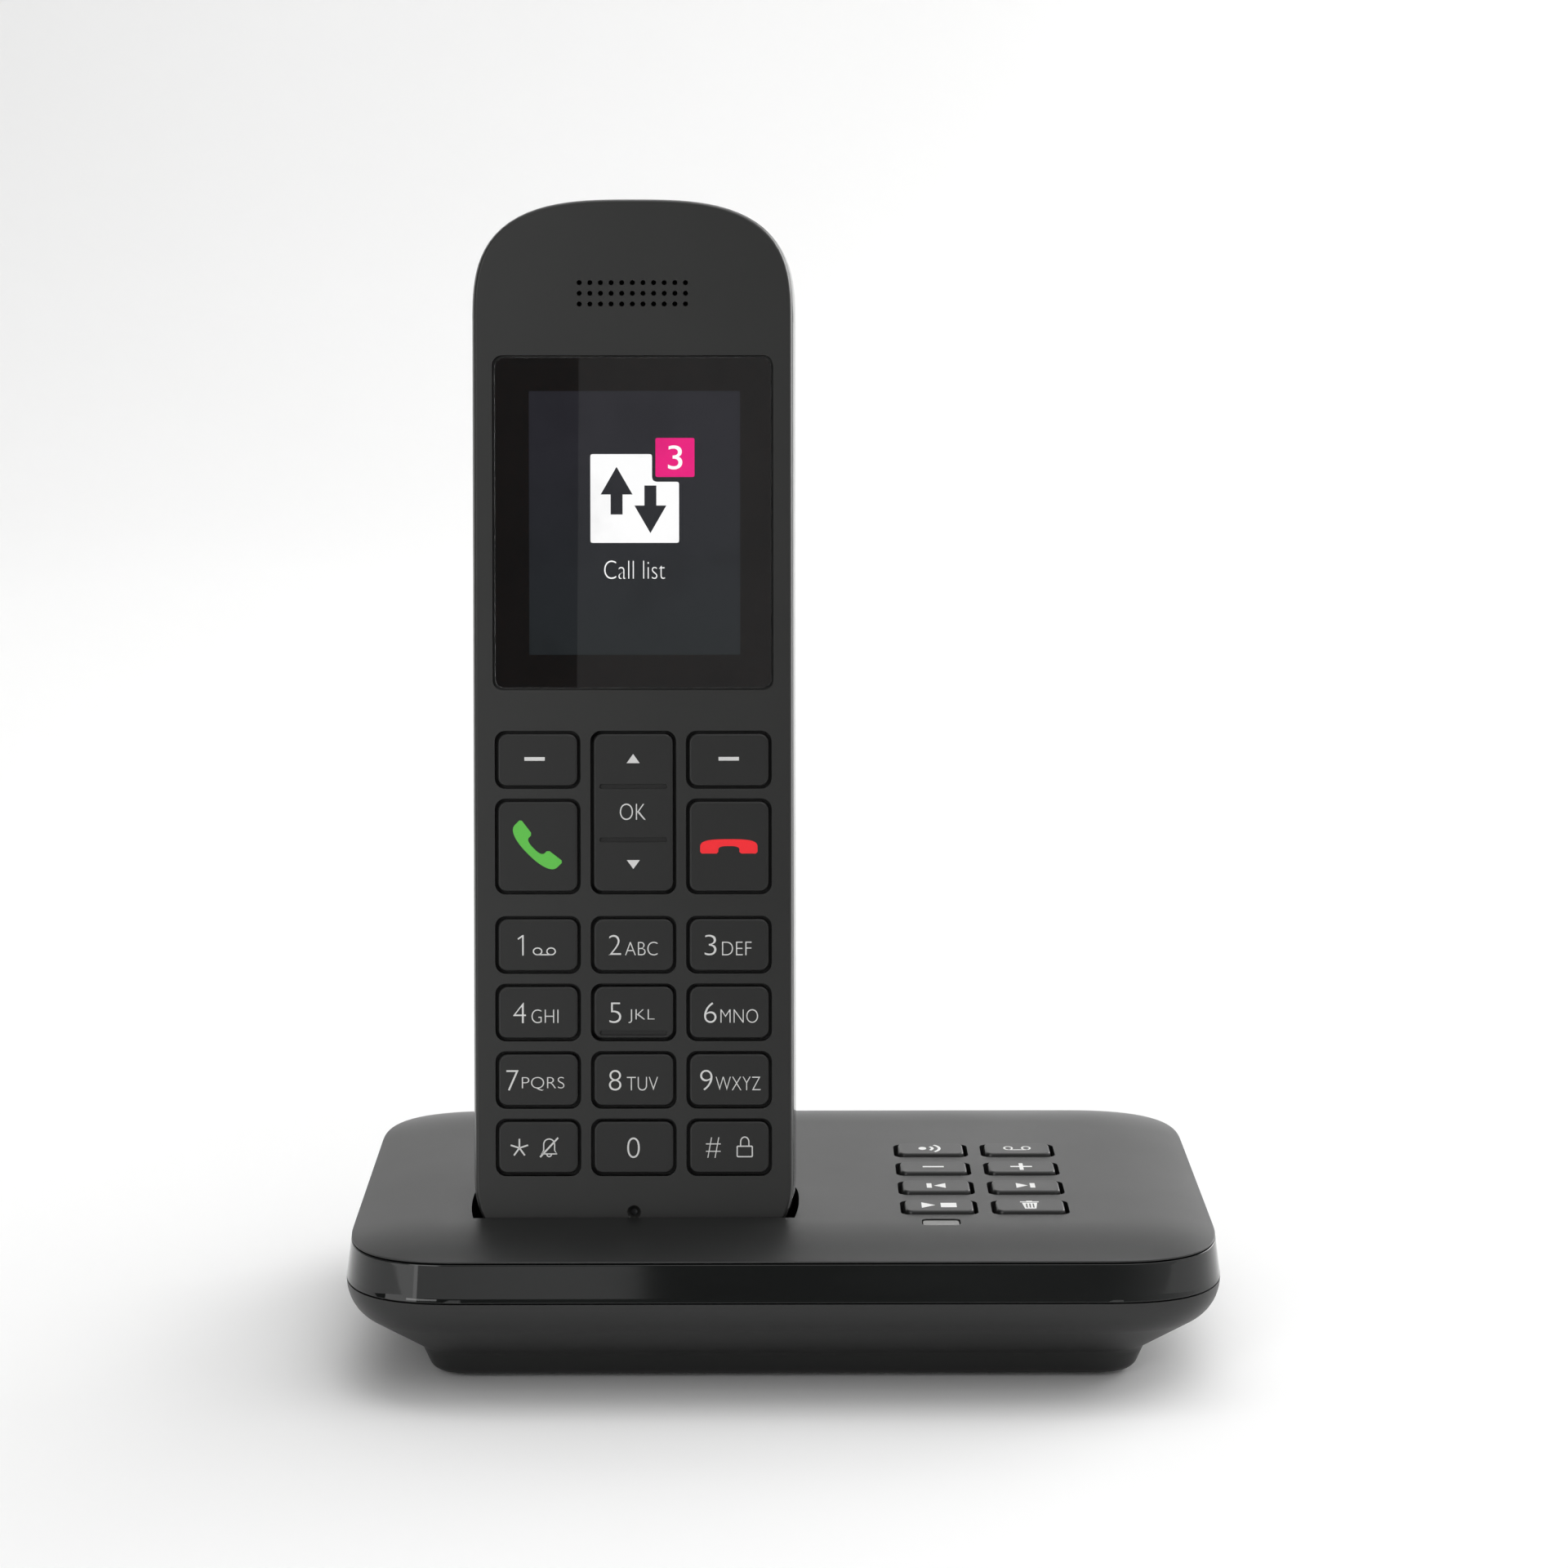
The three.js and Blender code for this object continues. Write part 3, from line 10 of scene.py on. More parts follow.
import bpy
import numpy as np
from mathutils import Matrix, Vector


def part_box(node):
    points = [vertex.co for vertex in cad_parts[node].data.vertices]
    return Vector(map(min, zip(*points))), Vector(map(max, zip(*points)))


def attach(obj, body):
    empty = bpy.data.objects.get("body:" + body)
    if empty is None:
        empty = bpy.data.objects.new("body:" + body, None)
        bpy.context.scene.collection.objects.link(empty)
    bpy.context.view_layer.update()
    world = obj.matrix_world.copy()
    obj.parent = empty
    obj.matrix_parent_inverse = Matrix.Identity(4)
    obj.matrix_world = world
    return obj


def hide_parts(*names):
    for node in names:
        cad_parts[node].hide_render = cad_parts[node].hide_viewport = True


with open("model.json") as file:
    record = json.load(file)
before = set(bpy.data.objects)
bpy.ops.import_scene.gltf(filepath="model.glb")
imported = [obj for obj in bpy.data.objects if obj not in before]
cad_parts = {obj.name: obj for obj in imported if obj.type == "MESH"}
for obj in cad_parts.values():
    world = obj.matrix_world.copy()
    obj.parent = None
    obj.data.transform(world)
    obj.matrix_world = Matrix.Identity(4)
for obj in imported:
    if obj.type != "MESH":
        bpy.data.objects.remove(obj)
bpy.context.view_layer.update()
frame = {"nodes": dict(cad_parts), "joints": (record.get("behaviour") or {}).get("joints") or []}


# ---- Camera ----
# It stands in front of the phone at the height of the earpiece and looks down on the base a little,
# with a long lens, as in a product shot.
LENS = 91.875
SENSOR = 36.0
EYE = Vector((-0.003237, -0.605937, 0.198284))
EYE_PITCH = math.radians(10.552)
EYE_YAW = math.radians(0.326)

camera_data = bpy.data.cameras.new("camera")
camera_data.lens = LENS
camera_data.sensor_width = SENSOR
camera_data.clip_start = 0.05
camera_data.clip_end = 20.0
camera = bpy.data.objects.new("camera", camera_data)
camera.location = EYE
camera.rotation_euler = (math.pi / 2 - EYE_PITCH, 0.0, -EYE_YAW)
bpy.context.scene.collection.objects.link(camera)
bpy.context.scene.camera = camera


# ---- Studio ----
# A short sheet of white paper lies under the phone, ends a little in front of it and curves up far
# behind it. The air is bright behind and to the right and dim in front, and softboxes above, behind
# and in front give the broad soft reflections.
SWEEP_HALF_WIDTH = 2.4
SWEEP_FRONT = -0.3
SWEEP_BACK = 1.5
SWEEP_RADIUS = 0.6
SWEEP_TOP = 2.2
SWEEP_STEPS = 24
PAPER_WHITE = (0.86, 0.86, 0.855, 1.0)
PAPER_PALE = (0.9, 0.9, 0.9, 1.0)
AIR_SLOPE = (0.50, 0.42, 0.10)
AIR_LEVEL = 0.52
AIR_RANGE = (0.04, 1.1)
AIR_SEEN = 0.85


def grid_quads(rows, columns, closed):
    """Corner numbers of the quads between neighbouring rows. Closed rows join their last column to
    their first."""
    start = np.arange(rows - 1)[:, None] * columns
    here = np.arange(columns if closed else columns - 1)[None, :]
    ahead = (here + 1) % columns
    corners = [start + here, start + ahead, start + columns + ahead, start + columns + here]
    return np.stack(corners, -1).reshape(-1, 4)


def paper_sweep():
    """The profile is a level line, a quarter circle of the sweep's radius and an upright line. It is
    carried along X."""
    turn = np.linspace(0, np.pi / 2, SWEEP_STEPS)
    arc_y = SWEEP_BACK - SWEEP_RADIUS + SWEEP_RADIUS * np.sin(turn)
    arc_z = SWEEP_RADIUS * (1 - np.cos(turn))
    profile_y = np.concatenate([[SWEEP_FRONT], arc_y, [SWEEP_BACK]])
    profile_z = np.concatenate([[0.0], arc_z, [SWEEP_TOP]])
    side = np.linspace(-SWEEP_HALF_WIDTH, SWEEP_HALF_WIDTH, 9)
    points = np.stack(np.broadcast_arrays(side, profile_y[:, None], profile_z[:, None]), -1)
    mesh = bpy.data.meshes.new("paper_sweep")
    quads = grid_quads(len(profile_y), len(side), closed=False)
    mesh.from_pydata(points.reshape(-1, 3).tolist(), [], quads.tolist())
    mesh.polygons.foreach_set("use_smooth", np.ones(len(quads), bool))
    return mesh


def softbox(name, place, aim, width, height, radiance):
    """Flat light of even radiance; its power is pi times radiance times area."""
    data = bpy.data.lights.new(name, "AREA")
    data.shape = "RECTANGLE"
    data.size = width
    data.size_y = height
    data.energy = math.pi * radiance * width * height
    light = bpy.data.objects.new(name, data)
    light.location = place
    light.rotation_euler = (Vector(aim) - Vector(place)).to_track_quat("-Z", "Y").to_euler()
    light.visible_camera = False
    bpy.context.scene.collection.objects.link(light)
    return light


def feed(tree, node, inputs):
    """Sets inputs of a node, given by name or number, to values or to what other nodes put out."""
    for title, value in inputs.items():
        if isinstance(value, bpy.types.NodeSocket):
            tree.links.new(value, node.inputs[title])
        else:
            node.inputs[title].default_value = value


def wired(tree, kind, inputs, **settings):
    """A new shader node with its settings and its inputs."""
    node = tree.nodes.new("ShaderNode" + kind)
    for title, value in settings.items():
        setattr(node, title, value)
    feed(tree, node, inputs)
    return node


def new_material(name):
    """A material with its node tree and its shader."""
    material = bpy.data.materials.new(name)
    material.use_nodes = True
    return material, material.node_tree, material.node_tree.nodes["Principled BSDF"]


def paper_material():
    """White paper with a faint cloudiness in its colour."""
    material, tree, shader = new_material("white_paper")
    place = wired(tree, "TexCoord", {}).outputs["Object"]
    cloud = wired(tree, "TexNoise", {"Scale": 3.0, "Vector": place}).outputs["Fac"]
    tones = {"A": PAPER_WHITE, "B": PAPER_PALE, "Factor": cloud}
    tone = wired(tree, "Mix", tones, data_type="RGBA").outputs["Result"]
    feed(tree, shader, {"Base Color": tone, "Roughness": 0.9, "Specular IOR Level": 0.1})
    return material


sweep = bpy.data.objects.new("paper_sweep", paper_sweep())
bpy.context.scene.collection.objects.link(sweep)
sweep.data.materials.append(paper_material())

softbox("overhead_softbox", (0.3, 0.25, 1.5), (0.1, 0.05, 0.0), 1.8, 1.4, 1.2)
softbox("front_high_softbox", (0.0, -0.9, 1.2), (0.0, -0.1, 0.0), 1.3, 0.6, 0.9)
softbox("backdrop_softbox", (0.4, 0.5, 1.7), (0.3, 1.5, 0.5), 2.6, 0.5, 1.5)
softbox("right_back_softbox", (1.0, 1.0, 0.55), (0.0, 0.0, 0.05), 0.9, 0.8, 4.0)
softbox("right_front_softbox", (0.453, -1.0, 0.585), (0.453, 0.0, 0.585), 1.06, 0.77, 0.15)
softbox("left_front_softbox", (-0.55, -1.0, 0.46), (-0.55, 0.0, 0.46), 0.5, 0.78, 3.4)
softbox("left_low_softbox", (-0.35, -1.0, -0.03), (-0.35, 0.0, -0.03), 0.6, 0.16, 0.75)
softbox("left_low_bright_softbox", (-0.85, -0.8, 0.0), (-0.1, 0.0, 0.0), 0.7, 0.2, 1.7)

world = bpy.data.worlds.new("studio_air")
bpy.context.scene.world = world
world.use_nodes = True
air = world.node_tree
air_direction = wired(air, "TexCoord", {}).outputs["Generated"]
air_slope = wired(air, "VectorMath", {0: air_direction, 1: AIR_SLOPE}, operation="DOT_PRODUCT")
air_level = wired(air, "Math", {0: air_slope.outputs["Value"], 1: AIR_LEVEL}, operation="ADD")
air_limits = {"Value": air_level.outputs["Value"], "Min": AIR_RANGE[0], "Max": AIR_RANGE[1]}
air_glow = wired(air, "Clamp", air_limits).outputs["Result"]
air_ray = wired(air, "LightPath", {}).outputs["Is Camera Ray"]
air_seen = wired(air, "Mix", {"A": air_glow, "B": AIR_SEEN, "Factor": air_ray})
air_whole = {"Strength": air_seen.outputs["Result"], "Color": (1.0, 1.0, 1.0, 1.0)}
feed(air, air.nodes["Background"], air_whole)
bpy.context.scene.view_settings.view_transform = "Standard"


# ---- Bottom shell of the base ----
# A tub moulded in matt black ABS with a fine eroded grain. Its side rolls under and flares out again
# in a heel. An alcove in its back lets the two plugs in, and slots in its floor let the sound out.
MM = 0.001
STANDOFF = 0.6
BASE_CORNER = 19.5
BASE_CORNER_POWER = 2.75
BASE_CORNER_STEPS = 26
SEAM_HEIGHT = 15.1
SHELL_WALL = 2.0
SHELL_SIDE = [(0.0, SEAM_HEIGHT), (0.0, 11.7), (10.95, 3.94), (12.57, 0.0), (16.4, 0.0)]
SHELL_FILLETS = [6.5, 2.5, 1.9]
SHELL_INSIDE = [(16.4, 2.0), (13.91, 2.0), (12.55, 5.33), (2.0, 12.8), (2.0, SEAM_HEIGHT + 1)]
SCREW_WELL = 5.6
SCREW_HOLE = 3.2
SCREW_BOSS = 8.0
SCREW_BOSS_HEIGHT = 5.0
FOOT_RECESS = 0.9
FOOT_GAP = 0.3
SPEAKER_SLOTS = 5
SPEAKER_SLOT = (16.0, 1.6, 0.75)
SPEAKER_SLOT_PITCH = 3.6
SOCKET_WALL = 1.6
SOCKET_GAP = 0.3
SOCKET_MIDDLE = 8.3
SOCKET_HOLE_HEIGHTS = (6.8, 5.4)
ALCOVE_MARGIN = 3.0
ALCOVE_DEPTH = 20.0
SHELL_BLACK = (0.0105, 0.0108, 0.0106, 1.0)


def node_box(node):
    """Low and high corner of a CAD node in millimetres."""
    low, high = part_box(node)
    return np.array(low) / MM, np.array(high) / MM


def corner_angles(power, steps):
    """Angles of a quarter turn, crowded towards both ends for a squarer corner, as
    t - w sin(2 pi t) / 2 pi."""
    share = np.linspace(0, 1, steps)
    crowding = min(power - 2, 1) * 0.9
    return np.pi / 2 * (share - crowding * np.sin(2 * np.pi * share) / (2 * np.pi))


def outline(width, depth, corner, power, steps):
    """Counter-clockwise rectangle whose corners are quarters of |x/r|^power + |y/r|^power = 1.

    A corner is x = r cos(a)^(2/power), y = r sin(a)^(2/power), for a from nothing to a right angle.
    """
    angle = corner_angles(power, steps)
    x = width / 2 - corner + corner * np.clip(np.cos(angle), 0, 1) ** (2 / power)
    y = depth / 2 - corner + corner * np.clip(np.sin(angle), 0, 1) ** (2 / power)
    east = np.stack([x, y], 1)
    north = np.stack([-x, y], 1)[::-1]
    return np.concatenate([east, north, -east, -north])


def base_outline(inset):
    """The plan of the base, drawn in by the inset; its corners shrink by as much."""
    size = base_high - base_low - 2 * inset
    corner = max(BASE_CORNER - inset, 2.0)
    return outline(*size, corner, BASE_CORNER_POWER, BASE_CORNER_STEPS)


def level(plan, height):
    """An outline as a ring of points at one height."""
    return np.column_stack([plan, np.full(len(plan), height)])


def stack(rings, capped=True):
    """Skin over rings of equal length, bottom first, as (points, faces). Capped ends are flat faces;
    without caps the last ring joins the first, which makes a hoop."""
    rings = np.array(rings)
    count = rings.shape[1]
    if capped:
        faces = grid_quads(len(rings), count, closed=True).tolist()
        faces.append(list(range(count))[::-1])
        faces.append(list(range((len(rings) - 1) * count, len(rings) * count)))
        return rings.reshape(-1, 3), faces
    faces = grid_quads(len(rings) + 1, count, closed=True) % (len(rings) * count)
    return rings.reshape(-1, 3), faces.tolist()


def together(*solids):
    """Several solids that don't touch, as one."""
    starts = np.cumsum([0] + [len(points) for points, _ in solids[:-1]])
    points = np.concatenate([points for points, _ in solids])
    faces = [[int(start) + n for n in face] for start, (_, fs) in zip(starts, solids) for face in fs]
    return points, faces


def rounded_block(width, depth, corner, low, high, x=0.0, y=0.0, steps=6):
    """Upright prism on a rectangle with circular corners."""
    plan = outline(width, depth, corner, 2.0, steps) + (x, y)
    return stack([level(plan, low), level(plan, high)])


def round_block(diameter, low, high, x, y, sides=32):
    """Upright cylinder of flat sides."""
    angle = np.arange(sides) * 2 * np.pi / sides
    plan = np.stack([np.cos(angle), np.sin(angle)], 1) * diameter / 2 + (x, y)
    return stack([level(plan, low), level(plan, high)])


def filleted(corners, radii, steps):
    """The line through the corners with each inner corner turned into an arc of its own radius."""
    corners = np.array(corners, float)
    run = [corners[:1]]
    for before, corner, after, radius in zip(corners, corners[1:], corners[2:], radii):
        back = (before - corner) / np.linalg.norm(before - corner)
        on = (after - corner) / np.linalg.norm(after - corner)
        half = math.acos(float(back @ on)) / 2
        centre = corner + (back + on) / np.linalg.norm(back + on) * radius / math.sin(half)
        start = corner + back * radius / math.tan(half) - centre
        end = corner + on * radius / math.tan(half) - centre
        sweep = math.atan2(start[0] * end[1] - start[1] * end[0], float(start @ end))
        turn = np.linspace(0, sweep, steps)
        arc_x = centre[0] + start[0] * np.cos(turn) - start[1] * np.sin(turn)
        arc_y = centre[1] + start[0] * np.sin(turn) + start[1] * np.cos(turn)
        run.append(np.stack([arc_x, arc_y], 1))
    run.append(corners[-1:])
    return np.concatenate(run)


def piece(name, solid):
    """A Blender object at the origin with the solid as its mesh."""
    points, faces = solid
    mesh = bpy.data.meshes.new(name)
    mesh.from_pydata((np.asarray(points) * MM).tolist(), [], [list(face) for face in faces])
    mesh.validate()
    made = bpy.data.objects.new(name, mesh)
    bpy.context.scene.collection.objects.link(made)
    return made


def set_firm(made):
    """Turns an object's modifiers into its mesh."""
    graph = bpy.context.evaluated_depsgraph_get()
    firm = bpy.data.meshes.new_from_object(made.evaluated_get(graph))
    made.modifiers.clear()
    old = made.data
    made.data = firm
    firm.name = made.name
    bpy.data.meshes.remove(old)
    return made


def carved(made, solid, operation="DIFFERENCE"):
    """The object after a solid is cut from it, joined to it or kept in common with it."""
    tool = piece("carving_tool", solid)
    step = made.modifiers.new("carve", "BOOLEAN")
    step.object = tool
    step.operation = operation
    step.solver = "EXACT"
    set_firm(made)
    bpy.data.objects.remove(tool)
    return made


def solid_of(made):
    """A piece taken out of the scene again, as points in millimetres and faces."""
    points = np.array([vertex.co for vertex in made.data.vertices]) / MM
    faces = [list(polygon.vertices) for polygon in made.data.polygons]
    bpy.data.objects.remove(made)
    return points, faces


def eased(made, width, segments=2, over=40.0):
    """Rounds every edge sharper than an angle, and shades smoothly across the rest."""
    ease = made.modifiers.new("ease", "BEVEL")
    ease.width = width * MM
    ease.segments = segments
    ease.limit_method = "ANGLE"
    ease.angle_limit = math.radians(over)
    return smoothed(set_firm(made), over)


def smoothed(made, over=40.0):
    """Smooth shading that keeps large faces flat, broken at edges sharper than an angle."""
    made.data.polygons.foreach_set("use_smooth", np.ones(len(made.data.polygons), bool))
    made.data.set_sharp_from_angle(angle=math.radians(over))
    even = made.modifiers.new("even", "WEIGHTED_NORMAL")
    even.weight = 90
    even.keep_sharp = True
    return set_firm(made)


def fitted(made, body, slot, material, *nodes):
    """The piece gets its finish, rides on its body and stands for its CAD nodes."""
    made.data.materials.clear()
    made.data.materials.append(material)
    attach(made, body)
    if nodes:
        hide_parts(*nodes)
    return made


def shader_group(name, inputs, outputs):
    """An empty shader node group with named sockets, given as (name, kind, default)."""
    group = bpy.data.node_groups.new(name, "ShaderNodeTree")
    for title, kind, default in inputs:
        socket = group.interface.new_socket(title, in_out="INPUT", socket_type="NodeSocket" + kind)
        if default is not None:
            socket.default_value = default
    for title, kind in outputs:
        group.interface.new_socket(title, in_out="OUTPUT", socket_type="NodeSocket" + kind)
    return group, group.nodes.new("NodeGroupInput"), group.nodes.new("NodeGroupOutput")


def times_plus(tree, value, factor, more):
    """What a math node puts out: value x factor + more."""
    terms = {0: value, 1: factor, 2: more}
    return wired(tree, "Math", terms, operation="MULTIPLY_ADD").outputs["Value"]


def moulded_grain_group():
    """Skin of moulded plastic: fine eroded grain, broad uneven tone and a little polish from hands."""
    group, given, made = shader_group(
        "moulded_grain",
        [
            ("Place", "Vector", None),
            ("Colour", "Color", (0.02, 0.02, 0.02, 1.0)),
            ("Grain", "Float", 3500.0),
            ("Unevenness", "Float", 0.08),
            ("Roughness", "Float", 0.45),
            ("Polish", "Float", 0.05),
        ],
        [("Colour", "Color"), ("Roughness", "Float"), ("Height", "Float")],
    )
    place, colour, size, unevenness, roughness, polish = (given.outputs[n] for n in range(6))
    grain = wired(group, "TexNoise", {"Detail": 3.0, "Vector": place, "Scale": size}).outputs["Fac"]
    broad = wired(group, "TexNoise", {"Scale": 38.0, "Detail": 4.0, "Vector": place}).outputs["Fac"]
    centred = times_plus(group, broad, 2.0, -1.0)
    both = wired(group, "Math", {0: centred, 1: times_plus(group, grain, 1.2, -0.6)})
    tone = times_plus(group, both.outputs["Value"], unevenness, 1.0)
    shade = wired(group, "VectorMath", {0: colour, "Scale": tone}, operation="SCALE")
    rough = times_plus(group, centred, polish, roughness)
    skin = {"Colour": shade.outputs["Vector"], "Roughness": rough, "Height": grain}
    feed(group, made, skin)
    return group


moulded_grain = moulded_grain_group()


def moulded(
    name, colour, roughness, grain=3500.0, unevenness=0.08, polish=0.05, relief=0.012, specular=0.5
):
    """Moulded plastic: the grain group drives its colour, roughness and a fine bump. The relief is the
    height of the bump in millimetres."""
    material, tree, shader = new_material(name)
    place = wired(tree, "TexCoord", {}).outputs["Object"]
    look = {"Place": place, "Colour": colour, "Grain": grain, "Unevenness": unevenness}
    look |= {"Roughness": roughness, "Polish": polish}
    skin = wired(tree, "Group", look, node_tree=moulded_grain).outputs
    bump = wired(tree, "Bump", {"Strength": 0.35, "Distance": relief * MM, "Height": skin["Height"]})
    feed(tree, shader, {"Base Color": skin["Colour"], "Roughness": skin["Roughness"]})
    feed(tree, shader, {"Normal": bump.outputs["Normal"], "Specular IOR Level": specular})
    return material


base_low, base_high = (corner[:2] for corner in node_box("base_trim_band"))
side = filleted(SHELL_SIDE, SHELL_FILLETS, 9)[::-1]
shell_outside = stack([level(base_outline(inset), height + STANDOFF) for inset, height in side])
shell_inside = stack([level(base_outline(inset), height + STANDOFF) for inset, height in SHELL_INSIDE])
bottom_shell = carved(piece("bottom_shell", shell_outside), shell_inside)

line_low, line_high = node_box("line_socket")
power_low, power_high = node_box("power_socket")
alcove_left = line_low[0] + SOCKET_WALL - ALCOVE_MARGIN
alcove_right = power_high[0] - SOCKET_WALL + ALCOVE_MARGIN
alcove_face = line_high[1] + SHELL_WALL + SOCKET_GAP
alcove_middle = (alcove_left + alcove_right) / 2
block_depth = base_high[1] + 3 - (alcove_face - SHELL_WALL)
alcove_width = alcove_right - alcove_left
alcove_plan = (alcove_width + 2 * SHELL_WALL, block_depth, 0.4)
alcove_span = (STANDOFF + 1.0, STANDOFF + SEAM_HEIGHT - 0.01)
alcove_place = (alcove_middle, alcove_face - SHELL_WALL + block_depth / 2)
alcove_block = piece("alcove_block", rounded_block(*alcove_plan, *alcove_span, *alcove_place, 2))
carved(bottom_shell, solid_of(carved(alcove_block, shell_outside, "INTERSECT")), "UNION")
alcove_room = (STANDOFF + 2.8, STANDOFF + SEAM_HEIGHT - 1.1)
alcove_place = (alcove_middle, alcove_face + ALCOVE_DEPTH / 2)
carved(bottom_shell, rounded_block(alcove_width, ALCOVE_DEPTH, 0.6, *alcove_room, *alcove_place, 3))

shell_cuts = []
socket_boxes = ((line_low, line_high), (power_low, power_high))
for (low, high), hole_height in zip(socket_boxes, SOCKET_HOLE_HEIGHTS):
    middle = (low[0] + high[0]) / 2
    width = high[0] - low[0] - 2 * SOCKET_WALL + 2 * SOCKET_GAP
    hole_low = STANDOFF + SOCKET_MIDDLE - hole_height / 2 - SOCKET_GAP
    hole_high = STANDOFF + SOCKET_MIDDLE + hole_height / 2 + SOCKET_GAP
    hole = rounded_block(width, 8.0, 0.4, hole_low, hole_high, middle, alcove_face - 2.0, 2)
    shell_cuts.append(hole)
for name in ("base_screw_left", "base_screw_right"):
    low, high = node_box(name)
    x, y = (low[:2] + high[:2]) / 2
    boss = round_block(SCREW_BOSS, STANDOFF + 1.0, STANDOFF + SCREW_BOSS_HEIGHT, x, y)
    carved(bottom_shell, boss, "UNION")
    shell_cuts.append(round_block(SCREW_WELL, -1.0, STANDOFF + 3.0, x, y))
    shell_cuts.append(round_block(SCREW_HOLE, STANDOFF + 2.9, STANDOFF + 8.0, x, y))
FEET = ("front_left", "front_right", "back_left", "back_right")
for name in FEET:
    low, high = node_box("rubber_foot_" + name)
    x, y = (low[:2] + high[:2]) / 2
    recess_width = high[0] - low[0] + FOOT_GAP
    shell_cuts.append(round_block(recess_width, -1.0, STANDOFF + FOOT_RECESS, x, y, 48))
speaker_low, speaker_high = node_box("base_loudspeaker")
speaker_x, speaker_y = (speaker_low[:2] + speaker_high[:2]) / 2
for slot in range(SPEAKER_SLOTS):
    y = speaker_y + (slot - (SPEAKER_SLOTS - 1) / 2) * SPEAKER_SLOT_PITCH
    slot_span = (-1.0, STANDOFF + SHELL_WALL + 1.0)
    shell_cuts.append(rounded_block(*SPEAKER_SLOT, *slot_span, speaker_x, y))
for cutter in shell_cuts:
    carved(bottom_shell, cutter)
eased(bottom_shell, 0.12, 1)
shell_plastic = moulded("matt_shell_abs", SHELL_BLACK, 0.42, grain=2600.0, relief=0.014)
fitted(bottom_shell, "base", "matte_shell", shell_plastic, "base_bottom_shell")


# ---- Trim band ----
# A hoop of piano-black ABS, polished in its tool and clipped between the shell and the cover. It leans
# in towards its top, and carries the faint haze that wiping leaves on such a surface.
BAND_HEIGHT = 6.3
BAND_LEAN_IN = 0.86
BAND_THICKNESS = 2.3
BAND_EDGE = 0.18
BAND_BLACK = (0.0072, 0.0080, 0.0077, 1.0)


def wiped_gloss_group():
    """Polished plastic: long faint wiping streaks and a thin haze, in its roughness and its shade."""
    group, given, made = shader_group(
        "wiped_gloss",
        [
            ("Place", "Vector", None),
            ("Colour", "Color", (0.004, 0.004, 0.004, 1.0)),
            ("Roughness", "Float", 0.05),
            ("Haze", "Float", 0.03),
            ("Streak Stretch", "Vector", (30.0, 160.0, 160.0)),
        ],
        [("Colour", "Color"), ("Roughness", "Float")],
    )
    place, colour, roughness, haze, streaks = (given.outputs[n] for n in range(5))
    stretch = wired(group, "VectorMath", {0: place, 1: streaks}, operation="MULTIPLY")
    noise = {"Scale": 1.0, "Detail": 5.0, "Vector": stretch.outputs["Vector"]}
    streak = wired(group, "TexNoise", noise).outputs["Fac"]
    limits = {"From Min": 0.42, "From Max": 0.78, "Value": streak}
    wiped = wired(group, "MapRange", limits).outputs["Result"]
    tone = {0: colour, "Scale": times_plus(group, wiped, 0.35, 0.9)}
    tinted = wired(group, "VectorMath", tone, operation="SCALE").outputs["Vector"]
    feed(group, made, {"Colour": tinted, "Roughness": times_plus(group, wiped, haze, roughness)})
    return group


wiped_gloss = wiped_gloss_group()


def polished(name, colour, roughness, haze, stretch=(30.0, 160.0, 160.0)):
    """Polished plastic: the gloss group drives its colour and roughness."""
    material, tree, shader = new_material(name)
    place = wired(tree, "TexCoord", {}).outputs["Object"]
    look = {"Place": place, "Colour": colour, "Roughness": roughness, "Haze": haze}
    look["Streak Stretch"] = stretch
    skin = wired(tree, "Group", look, node_tree=wiped_gloss).outputs
    feed(tree, shader, {"Base Color": skin["Colour"], "Roughness": skin["Roughness"]})
    return material


band_foot, band_head = (corner[2] for corner in node_box("base_trim_band"))
band_turn = np.linspace(0, np.pi / 2, 5)
band_rings = []
for turn in band_turn:
    inset = BAND_EDGE * (1 - math.sin(turn))
    band_rings.append(level(base_outline(inset), band_foot + BAND_EDGE * (1 - math.cos(turn))))
for share in np.linspace(0.08, 1, 12):
    height = band_foot + BAND_EDGE + (band_head - band_foot - 2 * BAND_EDGE) * share
    rise = (height - STANDOFF - SEAM_HEIGHT) / BAND_HEIGHT
    top_inset = BAND_LEAN_IN * rise
    band_rings.append(level(base_outline(top_inset), height))
for turn in band_turn[1:]:
    inset = top_inset + BAND_EDGE * (1 - math.cos(turn))
    band_rings.append(level(base_outline(inset), height + BAND_EDGE * math.sin(turn)))
band_rings.append(level(base_outline(BAND_THICKNESS), band_head))
band_rings.append(level(base_outline(BAND_THICKNESS), band_foot))
trim_band = smoothed(piece("trim_band", stack(band_rings, capped=False)), 50)
band_gloss = polished("piano_black_abs", BAND_BLACK, 0.035, 0.05)
fitted(trim_band, "base", "gloss_band", band_gloss, "base_trim_band")


